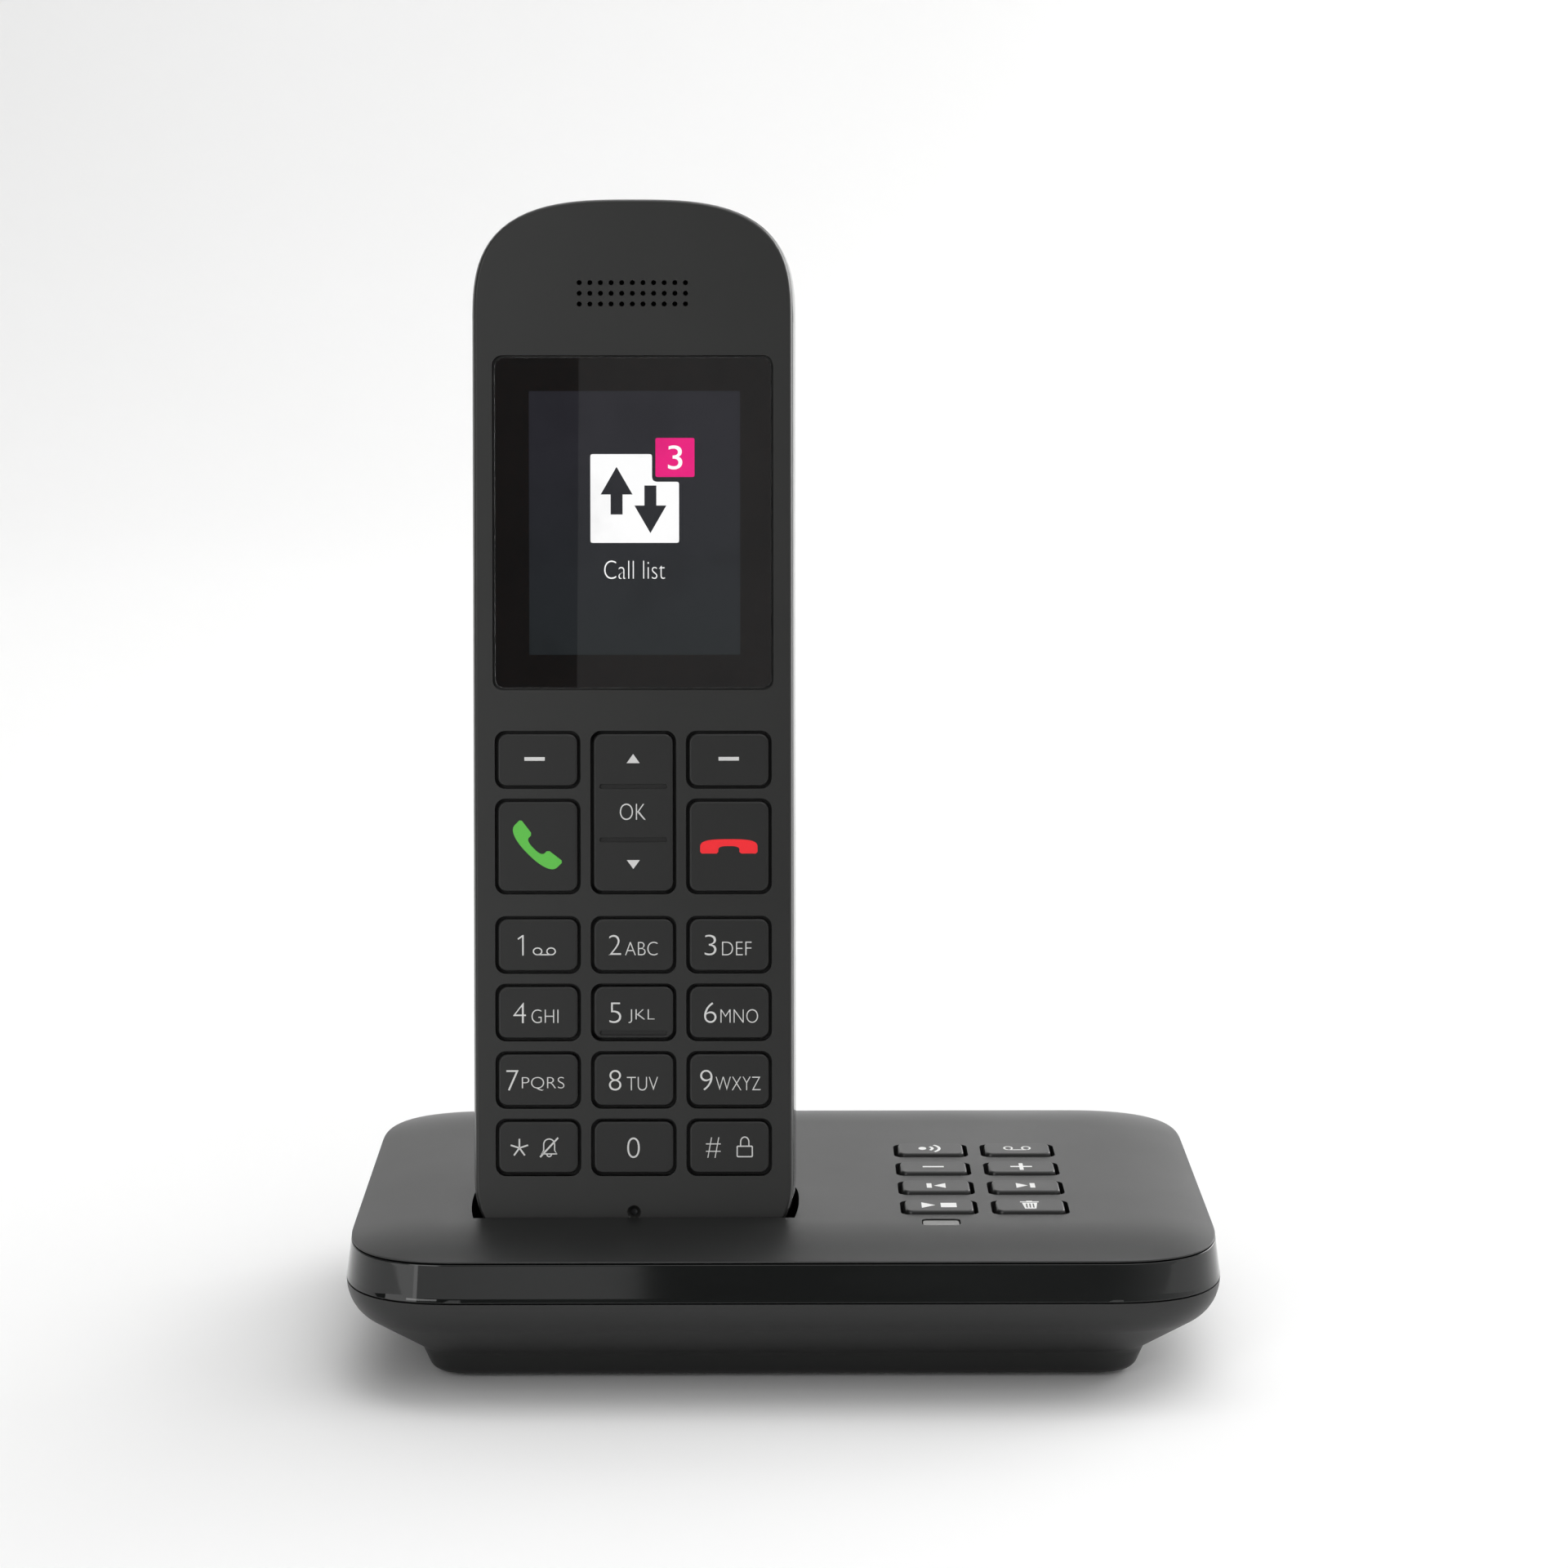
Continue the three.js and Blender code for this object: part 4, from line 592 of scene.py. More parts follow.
# ---- Top cover of the base ----
# A shallow lid in satin black ABS, flat in the middle and rolled down to the band all round. The pocket
# for the handset hangs under it, with two slots in its floor for the charging contacts.
BAND_TOP = SEAM_HEIGHT + BAND_HEIGHT
CROWN_RISE = 2.0
CROWN_WIDTH = 14.5
CROWN_POWER = 2.24
COVER_WALL = 2.0
COVER_LIP = 0.3
COVER_SKIRT = 1.6
COVER_GAP = 0.15
KEY_OPENING = (11.75, 7.3, 1.3)
LAMP_OPENING = (5.8, 3.1, 0.8)
HANDSET_WIDTH = 49.0
HANDSET_THICKNESS = 23.5
FACE_INSET = 0.75
FRAME_BACK = 9.3
REAR_FRONT = 9.9
REAR_ROLL = 9.0
REAR_ROLL_POWER = 2.4
POCKET_CLEARANCE = 0.4
POCKET_WALL = 1.5
POCKET_FLOOR_GAP = 0.9
WELL_TOP = 18.0
POCKET_TOP = 28.0
COVER_BOSS = 6.0
CONTACT_SLOT = (3.0, 2.2, 0.3)
CONTACT_SLOT_SPAN = (-4.0, 1.0)
COVER_BLACK = (0.0150, 0.0155, 0.0152, 1.0)

lift = next(joint for joint in frame["joints"] if joint["name"] == "handset_lift")
RIGHT = np.array([1.0, 0.0, 0.0])
UP = np.array(lift["axis"]) / np.linalg.norm(lift["axis"])
OUT = np.cross(RIGHT, UP)


def bench_box(node):
    """Low and high corner of a CAD node of the handset, in millimetres along its width, its length
    and out of its face, from the handset's own bench origin."""
    mesh = frame["nodes"][node].data
    places = np.empty(len(mesh.vertices) * 3, np.float32)
    mesh.vertices.foreach_get("co", places)
    along = places.reshape(-1, 3) / MM @ np.stack([RIGHT, UP, OUT], 1) - BENCH
    return along.min(0), along.max(0)


BENCH = np.zeros(3)
face_high = bench_box("handset_front_cover")[1]
frame_low, frame_high = bench_box("handset_side_frame")
BENCH = np.array([(frame_low[0] + frame_high[0]) / 2, frame_low[1], face_high[2]])


def on_bench(points):
    """Points drawn on the bench (width, length, out of the face) put in the docked handset's place."""
    return (np.asarray(points) + BENCH) @ np.stack([RIGHT, UP, OUT])


def docked(solid):
    """A solid drawn on the bench, in the docked handset's place."""
    points, faces = solid
    return on_bench(points), faces


def laid_along(solid):
    """A solid drawn upright, laid down so that its height runs along the handset."""
    points, faces = solid
    return np.stack([points[:, 0], points[:, 2], -points[:, 1]], 1), faces


def frame_inset(depth):
    """How far the side lies inside the widest outline: inset x (1 - depth / frame depth) squared."""
    return FACE_INSET * (1 - np.clip(depth / FRAME_BACK, 0, 1)) ** 2


def rear_inset(depth):
    """The rolled back: roll x (1 - (1 - share^p)^(1/p)), with the share of the rear cover's depth."""
    share = np.clip((depth - REAR_FRONT) / (HANDSET_THICKNESS - REAR_FRONT), 0, 1)
    return REAR_ROLL * (1 - (1 - share**REAR_ROLL_POWER) ** (1 / REAR_ROLL_POWER))


def pocket_column(grow, low, high):
    """The handset's section across its length, grown by a clearance and carried along its length."""
    front = np.linspace(0, REAR_FRONT, 7)
    share = 1 - (1 - np.linspace(0, 1, 18)) ** 1.6
    rear = REAR_FRONT + share * (HANDSET_THICKNESS - REAR_FRONT)
    half = HANDSET_WIDTH / 2 + grow
    right_x = np.concatenate([half - frame_inset(front), half - rear_inset(rear[1:])])
    depth = np.concatenate([front, rear[1:]])
    reach = np.concatenate([-grow * (1 - front / REAR_FRONT), grow * share[1:]])
    side_points = np.stack([right_x, -(depth + reach)], 1)
    section = np.concatenate([side_points, (side_points * (-1, 1))[::-1]])[::-1]
    rings = [np.insert(section, 1, y, axis=1) for y in (high, low)]
    return stack(rings)


cover_outside = BAND_THICKNESS + COVER_GAP
cover_inside = cover_outside + COVER_SKIRT
cover_bottom = SEAM_HEIGHT + 2 * COVER_GAP
ceiling = BAND_TOP + CROWN_RISE - COVER_WALL


def crown(share):
    """Height of the cover above the band: rise x (1 - (1 - share)^p)."""
    return CROWN_RISE * (1 - (1 - share) ** CROWN_POWER)


cover_profile = [
    (BAND_LEAN_IN + CROWN_WIDTH, ceiling),
    (BAND_LEAN_IN + CROWN_WIDTH * 0.4, ceiling - CROWN_RISE + crown(0.4)),
    (cover_inside, ceiling - CROWN_RISE + crown(0.1)),
    (cover_inside, cover_bottom),
    (cover_outside, cover_bottom),
    (cover_outside, BAND_TOP - COVER_LIP),
    (BAND_LEAN_IN + 0.12, BAND_TOP - COVER_LIP),
    (BAND_LEAN_IN, BAND_TOP - COVER_LIP + 0.1),
]
for share in np.linspace(0, 1, 22) ** 1.25:
    cover_profile.append((BAND_LEAN_IN + CROWN_WIDTH * share, BAND_TOP + crown(share)))
cover_solid = stack([level(base_outline(inset), height + STANDOFF) for inset, height in cover_profile])
top_cover = piece("top_cover", cover_solid)

cover_top = STANDOFF + BAND_TOP + CROWN_RISE
well_foot = -POCKET_FLOOR_GAP - POCKET_WALL
well_column = pocket_column(POCKET_CLEARANCE + POCKET_WALL, well_foot, WELL_TOP)
base_plan = (*(base_high - base_low), 1.0)
under_cover = rounded_block(*base_plan, 0.0, cover_top - COVER_WALL / 2, 0, 0, 2)
well = carved(piece("well", docked(well_column)), under_cover, "INTERSECT")
carved(top_cover, solid_of(well), "UNION")
for name in ("base_screw_left", "base_screw_right"):
    low, high = node_box(name)
    x, y = (low[:2] + high[:2]) / 2
    boss_span = (STANDOFF + SCREW_BOSS_HEIGHT + 0.3, cover_top - COVER_WALL / 2)
    carved(top_cover, round_block(COVER_BOSS, *boss_span, x, y, 24), "UNION")
    carved(top_cover, round_block(SCREW_HOLE, STANDOFF, high[2] + 0.3, x, y, 24))
carved(top_cover, docked(pocket_column(POCKET_CLEARANCE, -POCKET_FLOOR_GAP, POCKET_TOP)))

BASE_KEYS = ("page", "messages", "quieter", "louder", "back", "forward", "play", "delete")
cover_cuts = []
for name in BASE_KEYS:
    low, high = node_box("base_key_" + name)
    x, y = (low[:2] + high[:2]) / 2
    cover_cuts.append(rounded_block(*KEY_OPENING, ceiling - 1, cover_top + 1, x, y, 7))
lamp_low, lamp_high = node_box("base_status_lamp")
lamp_x, lamp_y = (lamp_low[:2] + lamp_high[:2]) / 2
cover_cuts.append(rounded_block(*LAMP_OPENING, ceiling - 1, cover_top + 1, lamp_x, lamp_y, 7))
for name in ("charge_contact_left", "charge_contact_right"):
    low, high = bench_box(name)
    x, z = (low[0] + high[0]) / 2, (low[2] + high[2]) / 2
    slot = rounded_block(*CONTACT_SLOT, *CONTACT_SLOT_SPAN, x, -z, 2)
    cover_cuts.append(docked(laid_along(slot)))
for cutter in cover_cuts:
    carved(top_cover, cutter)
eased(top_cover, 0.14, 2, 45)
cover_satin = moulded("satin_cover_abs", COVER_BLACK, 0.36, grain=3000.0, relief=0.010)
fitted(top_cover, "base", "satin_cover", cover_satin, "base_top_cover")


# ---- Keys of the base ----
# Eight tapered caps in satin black ABS, each on a flange that stays under the cover. Their signs are
# printed in light grey ink. The left column pages, turns down, goes back and plays; the right column
# shows messages, turns up, goes forward and deletes.
KEY_FLANGE = 0.5
KEY_FLANGE_THICKNESS = 0.6
KEY_CORNER = 1.3
KEY_GAP = 0.5
KEY_TAPER = 0.22
KEY_ROLL = 0.32
TAPER_HEIGHT = 0.8
INK_THICKNESS = 0.014
INK_LIFT = 0.004
BASE_CAP_BLACK = (0.0150, 0.0155, 0.0152, 1.0)
INK_GREY = (0.78, 0.78, 0.77, 1.0)


def cap(low, high, flange, flange_thickness, gap, taper, roll, corner):
    """A key cap: a flange, upright sides, a slight taper and a rim rounded to a quarter circle."""
    middle = (low[:2] + high[:2]) / 2
    opening = high[:2] - low[:2] - 2 * flange
    grown = outline(*(opening + 2 * flange), corner + flange, 2.0, 7) + middle
    rings = [level(grown, low[2]), level(grown, low[2] + flange_thickness)]
    slim = opening - 2 * gap
    upright = outline(*slim, corner, 2.0, 7) + middle
    rings.append(level(upright, low[2] + flange_thickness))
    rings.append(level(upright, high[2] - roll - TAPER_HEIGHT))
    for turn in np.linspace(0, np.pi / 2, 6):
        inset = taper + roll * (1 - math.cos(turn))
        plan = outline(*(slim - 2 * inset), max(corner - inset, 0.3), 2.0, 7) + middle
        rings.append(level(plan, high[2] - roll + roll * math.sin(turn)))
    return stack(rings)


def ribbon(line, width):
    """Outline of a stroke of even width along a line: the line moved half the width to each side."""
    line = np.asarray(line, float)
    along = np.gradient(line, axis=0)
    across = np.stack([-along[:, 1], along[:, 0]], 1) / np.linalg.norm(along, axis=1)[:, None]
    across = across * np.asarray(width).reshape(-1, 1) / 2
    return np.concatenate([line + across, (line - across)[::-1]])


def arc(x, y, radius_x, radius_y, start, end, count=24):
    """Points on an ellipse from one angle to another, in degrees."""
    turn = np.radians(np.linspace(start, end, count))
    return np.stack([x + radius_x * np.cos(turn), y + radius_y * np.sin(turn)], 1)


def ring(x, y, radius_x, radius_y, width):
    """An ellipse with an elliptical hole, as two outlines."""
    hole = arc(x, y, radius_x - width, radius_y - width, 0, 345, 24)
    return [arc(x, y, radius_x, radius_y, 0, 345, 24), hole]


def bar(left, right, low, high):
    """The outline of an upright rectangle."""
    return np.array([(left, low), (right, low), (right, high), (left, high)], float)


def printed(name, outlines, place):
    """Outlines filled as thin ink, where an outline inside another is a hole. Place takes flat points
    (two columns) and a height, and gives points in the world, in millimetres."""
    curve = bpy.data.curves.new(name, "CURVE")
    curve.dimensions = "2D"
    curve.fill_mode = "BOTH"
    curve.extrude = INK_THICKNESS / 2
    for points in outlines:
        spline = curve.splines.new("POLY")
        spline.points.add(len(points) - 1)
        flat = np.column_stack([points, np.zeros(len(points)), np.ones(len(points))])
        spline.points.foreach_set("co", flat.astype(np.float32).ravel())
        spline.use_cyclic_u = True
    return inked(name, curve, place)


def inked(name, curve, place):
    """A flat curve or text turned into a mesh and put in place."""
    drawn = bpy.data.objects.new(name, curve)
    bpy.context.scene.collection.objects.link(drawn)
    graph = bpy.context.evaluated_depsgraph_get()
    graph.update()
    mesh = bpy.data.meshes.new_from_object(drawn.evaluated_get(graph))
    bpy.data.objects.remove(drawn)
    places = np.empty(len(mesh.vertices) * 3, np.float32)
    mesh.vertices.foreach_get("co", places)
    places = places.reshape(-1, 3).astype(float)
    mesh.vertices.foreach_set("co", (place(places) * MM).astype(np.float32).ravel())
    mesh.materials.clear()
    mesh.update()
    mesh.name = name
    made = bpy.data.objects.new(name, mesh)
    bpy.context.scene.collection.objects.link(made)
    return made


def ink_material(name, colour):
    """Pad-printed ink: a little uneven in tone, with the fine grain of the plastic showing through."""
    return moulded(name, colour, 0.5, grain=6000.0, unevenness=0.10, relief=0.004)


REELS = [
    *ring(-1.42, 0.1, 0.78, 1.05, 0.30),
    *ring(1.42, 0.1, 0.78, 1.05, 0.30),
    bar(-1.42, 1.42, -1.02, -0.70),
]
BIN = [
    np.array([(-1.15, 1.15), (-0.85, -1.95), (0.85, -1.95), (1.15, 1.15)]),
    bar(-0.62, -0.40, -1.45, 0.70),
    bar(-0.11, 0.11, -1.45, 0.70),
    bar(0.40, 0.62, -1.45, 0.70),
    bar(-1.42, 1.42, 1.40, 1.80),
    bar(-0.45, 0.45, 1.85, 2.15),
]
BASE_SIGNS = {
    "page": [
        arc(-1.28, 0.0, 0.62, 0.85, 0, 345),
        ribbon(arc(-0.75, 0.0, 1.05, 1.25, -52, 52), 0.46),
        ribbon(arc(-0.75, 0.0, 2.15, 2.45, -52, 52), 0.46),
    ],
    "messages": REELS,
    "quieter": [bar(-1.65, 1.65, -0.32, 0.32)],
    "louder": [
        np.array(
            [(-1.7, -0.3), (-0.31, -0.3), (-0.31, -1.85), (0.31, -1.85), (0.31, -0.3), (1.7, -0.3)]
            + [(1.7, 0.3), (0.31, 0.3), (0.31, 1.85), (-0.31, 1.85), (-0.31, 0.3), (-1.7, 0.3)]
        )
    ],
    "back": [bar(-1.45, -0.68, -1.2, 1.2), np.array([(-0.33, 0.0), (1.45, -1.3), (1.45, 1.3)])],
    "forward": [np.array([(0.33, 0.0), (-1.45, 1.3), (-1.45, -1.3)]), bar(0.68, 1.45, -1.2, 1.2)],
    "play": [np.array([(-0.55, 0.0), (-2.65, 1.45), (-2.65, -1.45)]), bar(0.25, 2.65, -1.15, 1.15)],
    "delete": BIN,
}

cap_satin = moulded("satin_base_cap_abs", BASE_CAP_BLACK, 0.34, grain=3400.0, relief=0.008)
cap_ink = ink_material("light_grey_ink", INK_GREY)
for name in BASE_KEYS:
    low, high = node_box("base_key_" + name)
    sizes = (KEY_FLANGE, KEY_FLANGE_THICKNESS, KEY_GAP, KEY_TAPER, KEY_ROLL, KEY_CORNER)
    made = smoothed(piece("cap_" + name, cap(low, high, *sizes)), 40)
    fitted(made, "base_key_" + name + "_cap", "base_key_cap", cap_satin, "base_key_" + name)
    middle = np.array([*(low[:2] + high[:2]) / 2, high[2] + INK_LIFT])
    sign = printed("sign_" + name, BASE_SIGNS[name], lambda flat, middle=middle: flat + middle)
    fitted(sign, "base_key_" + name + "_cap", "base_key_cap", cap_ink)


# ---- Status lamp ----
# A bar of milky acrylic that carries light up from the board, with a rounded end just under the
# cover's top. It is off, so it looks pale grey.
LAMP_ROLL = 0.12
LAMP_CORNER = 0.7
LAMP_MILKY = (0.15, 0.15, 0.146, 1.0)

lamp_rings = []
lamp_size = lamp_high - lamp_low
lamp_profile = [(0, lamp_low[2]), (0, lamp_high[2] - LAMP_ROLL)]
lamp_profile += [(0.05, lamp_high[2] - 0.03), (0.25, lamp_high[2])]
for inset, height in lamp_profile:
    width, depth = lamp_size[:2] - 2 * inset
    plan = outline(width, depth, LAMP_CORNER - inset, 2.0, 7) + (lamp_x, lamp_y)
    lamp_rings.append(level(plan, height))
status_lamp = smoothed(piece("status_lamp", stack(lamp_rings)), 50)
lamp_acrylic = moulded("milky_acrylic", LAMP_MILKY, 0.22, 500.0, unevenness=0.12, relief=0.002)
fitted(status_lamp, "base", "lamp_lens", lamp_acrylic, "base_status_lamp")


# ---- Rubber feet ----
# Four pads of black rubber pressed into round recesses of the bottom shell, each with a rounded rim
# and a shallow ring in its sole that grips the table.
FOOT_ROLL = 0.25
FOOT_GROOVE = (2.6, 3.4, 0.18)
FOOT_GROOVE_SLOPE = 0.15
FOOT_BLACK = (0.012, 0.012, 0.012, 1.0)

foot_rubber = moulded("black_rubber", FOOT_BLACK, 0.75, 1800.0, unevenness=0.15, relief=0.02)
for name in FEET:
    low, high = node_box("rubber_foot_" + name)
    x, y = (low[:2] + high[:2]) / 2
    radius = (high[0] - low[0]) / 2
    turn = np.arange(64) * 2 * np.pi / 64
    circle = np.stack([np.cos(turn), np.sin(turn)], 1)
    inner, outer, groove = FOOT_GROOVE
    foot_profile = [(inner - FOOT_GROOVE_SLOPE, low[2]), (inner, low[2] + groove)]
    foot_profile += [(outer, low[2] + groove), (outer + FOOT_GROOVE_SLOPE, low[2])]
    foot_profile += [(radius - FOOT_ROLL, low[2]), (radius, low[2] + FOOT_ROLL), (radius, high[2])]
    foot = piece("foot_" + name, stack([level(circle * r + (x, y), z) for r, z in foot_profile]))
    fitted(smoothed(foot, 35), "base", "foot_rubber", foot_rubber, "rubber_foot_" + name)


# ---- Front cover of the handset ----
# A flat plate in satin black ABS with a rolled rim. It is moulded with a recess for the display window,
# an opening for each key, three rows of earpiece holes and a funnel down to the microphone.
TOP_ARC = 19.0
TOP_POWER = 3.0
BOTTOM_ARC = 15.0
BOTTOM_POWER = 2.9
HANDSET_STEPS = 34
FACE_EDGE = 0.4
FACE_THICKNESS = 1.6
WINDOW_GAP = 0.3
WINDOW_CORNER = 1.5
WINDOW_LEDGE = 2.0
HANDSET_KEY_CORNER = 1.6
HANDSET_KEY_FLANGE = 0.5
EAR_HOLE = 0.76
EAR_PITCH = 1.59
EAR_COLUMNS = 11
EAR_ROWS = 3
MICROPHONE_FUNNEL = 2.1
MICROPHONE_HOLE = 1.0
MICROPHONE_FUNNEL_DEPTH = 0.55
FACE_BLACK = (0.0135, 0.0138, 0.0130, 1.0)
HANDSET_KEYS = ["soft_left", "soft_right", "call", "end", "navigation"]
HANDSET_KEYS += ["1", "2", "3", "4", "5", "6", "7", "8", "9", "star", "0", "hash"]

handset_length = frame_high[1] - frame_low[1]


def handset_outline(inset):
    """The face: half a superellipse round the earpiece, and half of one of another power at the foot."""
    half = HANDSET_WIDTH / 2 - inset
    above = corner_angles(TOP_POWER, HANDSET_STEPS)
    below = corner_angles(BOTTOM_POWER, HANDSET_STEPS)
    top_x = half * np.clip(np.cos(above), 0, 1) ** (2 / TOP_POWER)
    top_y = handset_length - TOP_ARC + (TOP_ARC - inset) * np.sin(above) ** (2 / TOP_POWER)
    foot_x = half * np.clip(np.cos(below), 0, 1) ** (2 / BOTTOM_POWER)
    foot_y = BOTTOM_ARC - (BOTTOM_ARC - inset) * np.sin(below) ** (2 / BOTTOM_POWER)
    top = np.stack([top_x, top_y], 1)
    foot = np.stack([foot_x, foot_y], 1)
    mirror = (-1, 1)
    return np.concatenate([top, (top * mirror)[::-1][1:], foot * mirror, foot[::-1][1:]])


face_rings = [level(handset_outline(frame_inset(FACE_THICKNESS)), -FACE_THICKNESS)]
for turn in np.linspace(0, np.pi / 2, 7):
    inset = FACE_INSET + FACE_EDGE * (1 - math.cos(turn))
    face_rings.append(level(handset_outline(inset), -FACE_EDGE + FACE_EDGE * math.sin(turn)))
front_cover = piece("front_cover", docked(stack(face_rings)))

pane_low, pane_high = bench_box("display_window")
window_up = (pane_low[1] + pane_high[1]) / 2
pane_size = pane_high - pane_low
recess = (*(pane_size[:2] + 2 * WINDOW_GAP), WINDOW_CORNER)
ledge = (*(pane_size[:2] - 2 * WINDOW_LEDGE), 1.0)
face_cuts = [
    rounded_block(*recess, pane_low[2] - WINDOW_GAP, 1.0, 0.0, window_up, 8),
    rounded_block(*ledge, -FACE_THICKNESS - 1, 0.0, 0.0, window_up, 5),
]
for name in HANDSET_KEYS:
    low, high = bench_box("key_" + name)
    opening = high[:2] - low[:2] - 2 * HANDSET_KEY_FLANGE
    middle = (low[:2] + high[:2]) / 2
    face_cuts.append(rounded_block(*opening, HANDSET_KEY_CORNER, -FACE_THICKNESS - 1, 1.0, *middle, 8))
ear_low, ear_high = bench_box("earpiece")
ear_up = (ear_low[1] + ear_high[1]) / 2
ear_holes = []
for row in range(EAR_ROWS):
    for column in range(EAR_COLUMNS):
        x = (column - (EAR_COLUMNS - 1) / 2) * EAR_PITCH
        y = ear_up + (row - (EAR_ROWS - 1) / 2) * EAR_PITCH
        ear_holes.append(round_block(EAR_HOLE, -FACE_THICKNESS - 1, 1.0, x, y, 16))
face_cuts.append(together(*ear_holes))
microphone_low, microphone_high = bench_box("microphone")
microphone_up = (microphone_low[1] + microphone_high[1]) / 2
turn = np.arange(32) * 2 * np.pi / 32
circle = np.stack([np.cos(turn), np.sin(turn)], 1)
funnel_rings = []
for width, height in (
    (MICROPHONE_HOLE, -FACE_THICKNESS - 1),
    (MICROPHONE_HOLE, -MICROPHONE_FUNNEL_DEPTH),
    (MICROPHONE_FUNNEL, 0.0),
    (MICROPHONE_FUNNEL, 1.0),
):
    funnel_rings.append(level(circle * width / 2 + (0, microphone_up), height))
face_cuts.append(stack(funnel_rings))
for cutter in face_cuts:
    carved(front_cover, docked(cutter))
eased(front_cover, 0.1, 2, 45)
face_satin = moulded("satin_face_abs", FACE_BLACK, 0.40, grain=3400.0, relief=0.008)
fitted(front_cover, "handset", "handset_face", face_satin, "handset_front_cover")


# ---- Side frame of the handset ----
# A hoop of piano-black ABS between the two covers, polished like the trim band of the base.
FRAME_THICKNESS = 2.3
FRAME_ROLL = 0.12
HOOP_FRONT = 1.9
HOOP_BACK = 9.6

frame_rings = []
frame_side = np.linspace(HOOP_BACK - FRAME_ROLL, HOOP_FRONT + FRAME_ROLL, 12)
for depth in (HOOP_BACK, *frame_side, HOOP_FRONT):
    at_edge = depth in (HOOP_BACK, HOOP_FRONT)
    inset = frame_inset(depth) + (FRAME_ROLL if at_edge else 0.0)
    frame_rings.append(level(handset_outline(inset), -depth))
for depth in (HOOP_FRONT, HOOP_BACK):
    frame_rings.append(level(handset_outline(FRAME_THICKNESS), -depth))
side_frame = smoothed(piece("side_frame", docked(stack(frame_rings, capped=False))), 50)
fitted(side_frame, "handset", "gloss_band", band_gloss, "handset_side_frame")


# ---- Rear cover of the handset ----
# A deep shell in satin black ABS, rolled round its edges to a flat back. It holds the battery bay,
# three slots over the ringer, and openings in its foot for the charging pads.
REAR_WALL = 1.5
DOOR_GAP = 0.3
DOOR_CORNER = 3.0
BAY_LEDGE = 3.0
BAY_WALL = 1.2
BAY_FLOOR = -10.4
LEDGE_BACK = -21.7
RINGER_SLOT = (10.0, 1.2, 0.6)
RINGER_PITCH = 3.0
PAD_GAP = 0.3
PAD_WINDOW_REACH = 4.5
BAY_SCREW_HOLE = 2.6

share = 1 - (1 - np.linspace(0, 1, 20)) ** 1.7
rear_depths = REAR_FRONT + share * (HANDSET_THICKNESS - REAR_FRONT)
rear_rings = [level(handset_outline(rear_inset(depth)), -depth) for depth in rear_depths[::-1]]
for depth, part in zip(rear_depths[::2], share[::2]):
    inside = -REAR_FRONT - part * (HANDSET_THICKNESS - REAR_FRONT - REAR_WALL)
    rear_rings.append(level(handset_outline(rear_inset(depth) + REAR_WALL), inside))
rear_cover = piece("rear_cover", docked(stack(rear_rings)))

door_low, door_high = bench_box("battery_door")
door_size = door_high[:2] - door_low[:2]
door_up = (door_low[1] + door_high[1]) / 2
door_opening = door_size + 2 * DOOR_GAP
bay_size = door_opening - 2 * BAY_LEDGE
inside_back = -HANDSET_THICKNESS + REAR_WALL / 2
ledge_size = door_opening + 2 * BAY_WALL
bay_outer = bay_size + 2 * BAY_WALL
for solid in (
    rounded_block(*ledge_size, DOOR_CORNER, inside_back, LEDGE_BACK + BAY_WALL, 0, door_up),
    rounded_block(*bay_outer, BAY_WALL, inside_back, BAY_FLOOR + BAY_WALL, 0, door_up, 3),
):
    carved(rear_cover, docked(solid), "UNION")
rear_cuts = [
    rounded_block(*door_opening, DOOR_CORNER, -HANDSET_THICKNESS - 1, LEDGE_BACK, 0, door_up, 9),
    rounded_block(*bay_size, 0.3, -HANDSET_THICKNESS - 1, BAY_FLOOR, 0, door_up, 2),
]
for name in ("charge_pad_left", "charge_pad_right"):
    low, high = bench_box(name)
    x, z = (low[0] + high[0]) / 2, (low[2] + high[2]) / 2
    pad_window = (high[0] - low[0] + 2 * PAD_GAP, high[2] - low[2] + 2 * PAD_GAP, 0.3)
    reach = (low[1] - PAD_WINDOW_REACH, high[1] + PAD_WINDOW_REACH)
    rear_cuts.append(laid_along(rounded_block(*pad_window, *reach, x, -z, 3)))
for name in ("handset_screw_left", "handset_screw_right"):
    low, high = bench_box(name)
    x, y = (low[:2] + high[:2]) / 2
    bay_span = (BAY_FLOOR - 1, BAY_FLOOR + BAY_WALL + 1)
    rear_cuts.append(round_block(BAY_SCREW_HOLE, *bay_span, x, y, 24))
ringer_low, ringer_high = bench_box("handset_ringer")
ringer_up = (ringer_low[1] + ringer_high[1]) / 2
for slot in (-1, 0, 1):
    place = (0.0, ringer_up + slot * RINGER_PITCH, 7)
    slot_span = (-HANDSET_THICKNESS - 1, -HANDSET_THICKNESS + 2.5)
    rear_cuts.append(rounded_block(*RINGER_SLOT, *slot_span, *place))
for cutter in rear_cuts:
    carved(rear_cover, docked(cutter))
eased(rear_cover, 0.12, 2, 45)
rear_satin = moulded("satin_rear_abs", FACE_BLACK, 0.42, grain=3000.0, relief=0.012)
fitted(rear_cover, "handset", "matte_shell", rear_satin, "handset_rear_cover")


# ---- Battery door ----
# A flat lid in the same satin ABS, which lies flush in the rear cover. Four shallow grooves near its
# top give the thumb a grip to pull it off.
GRIP_GROOVES = 4
GRIP_GROOVE = (11.0, 0.8, 0.4)
GRIP_PITCH = 1.7
GRIP_DEPTH = 0.45
GRIP_DROP = 5.0

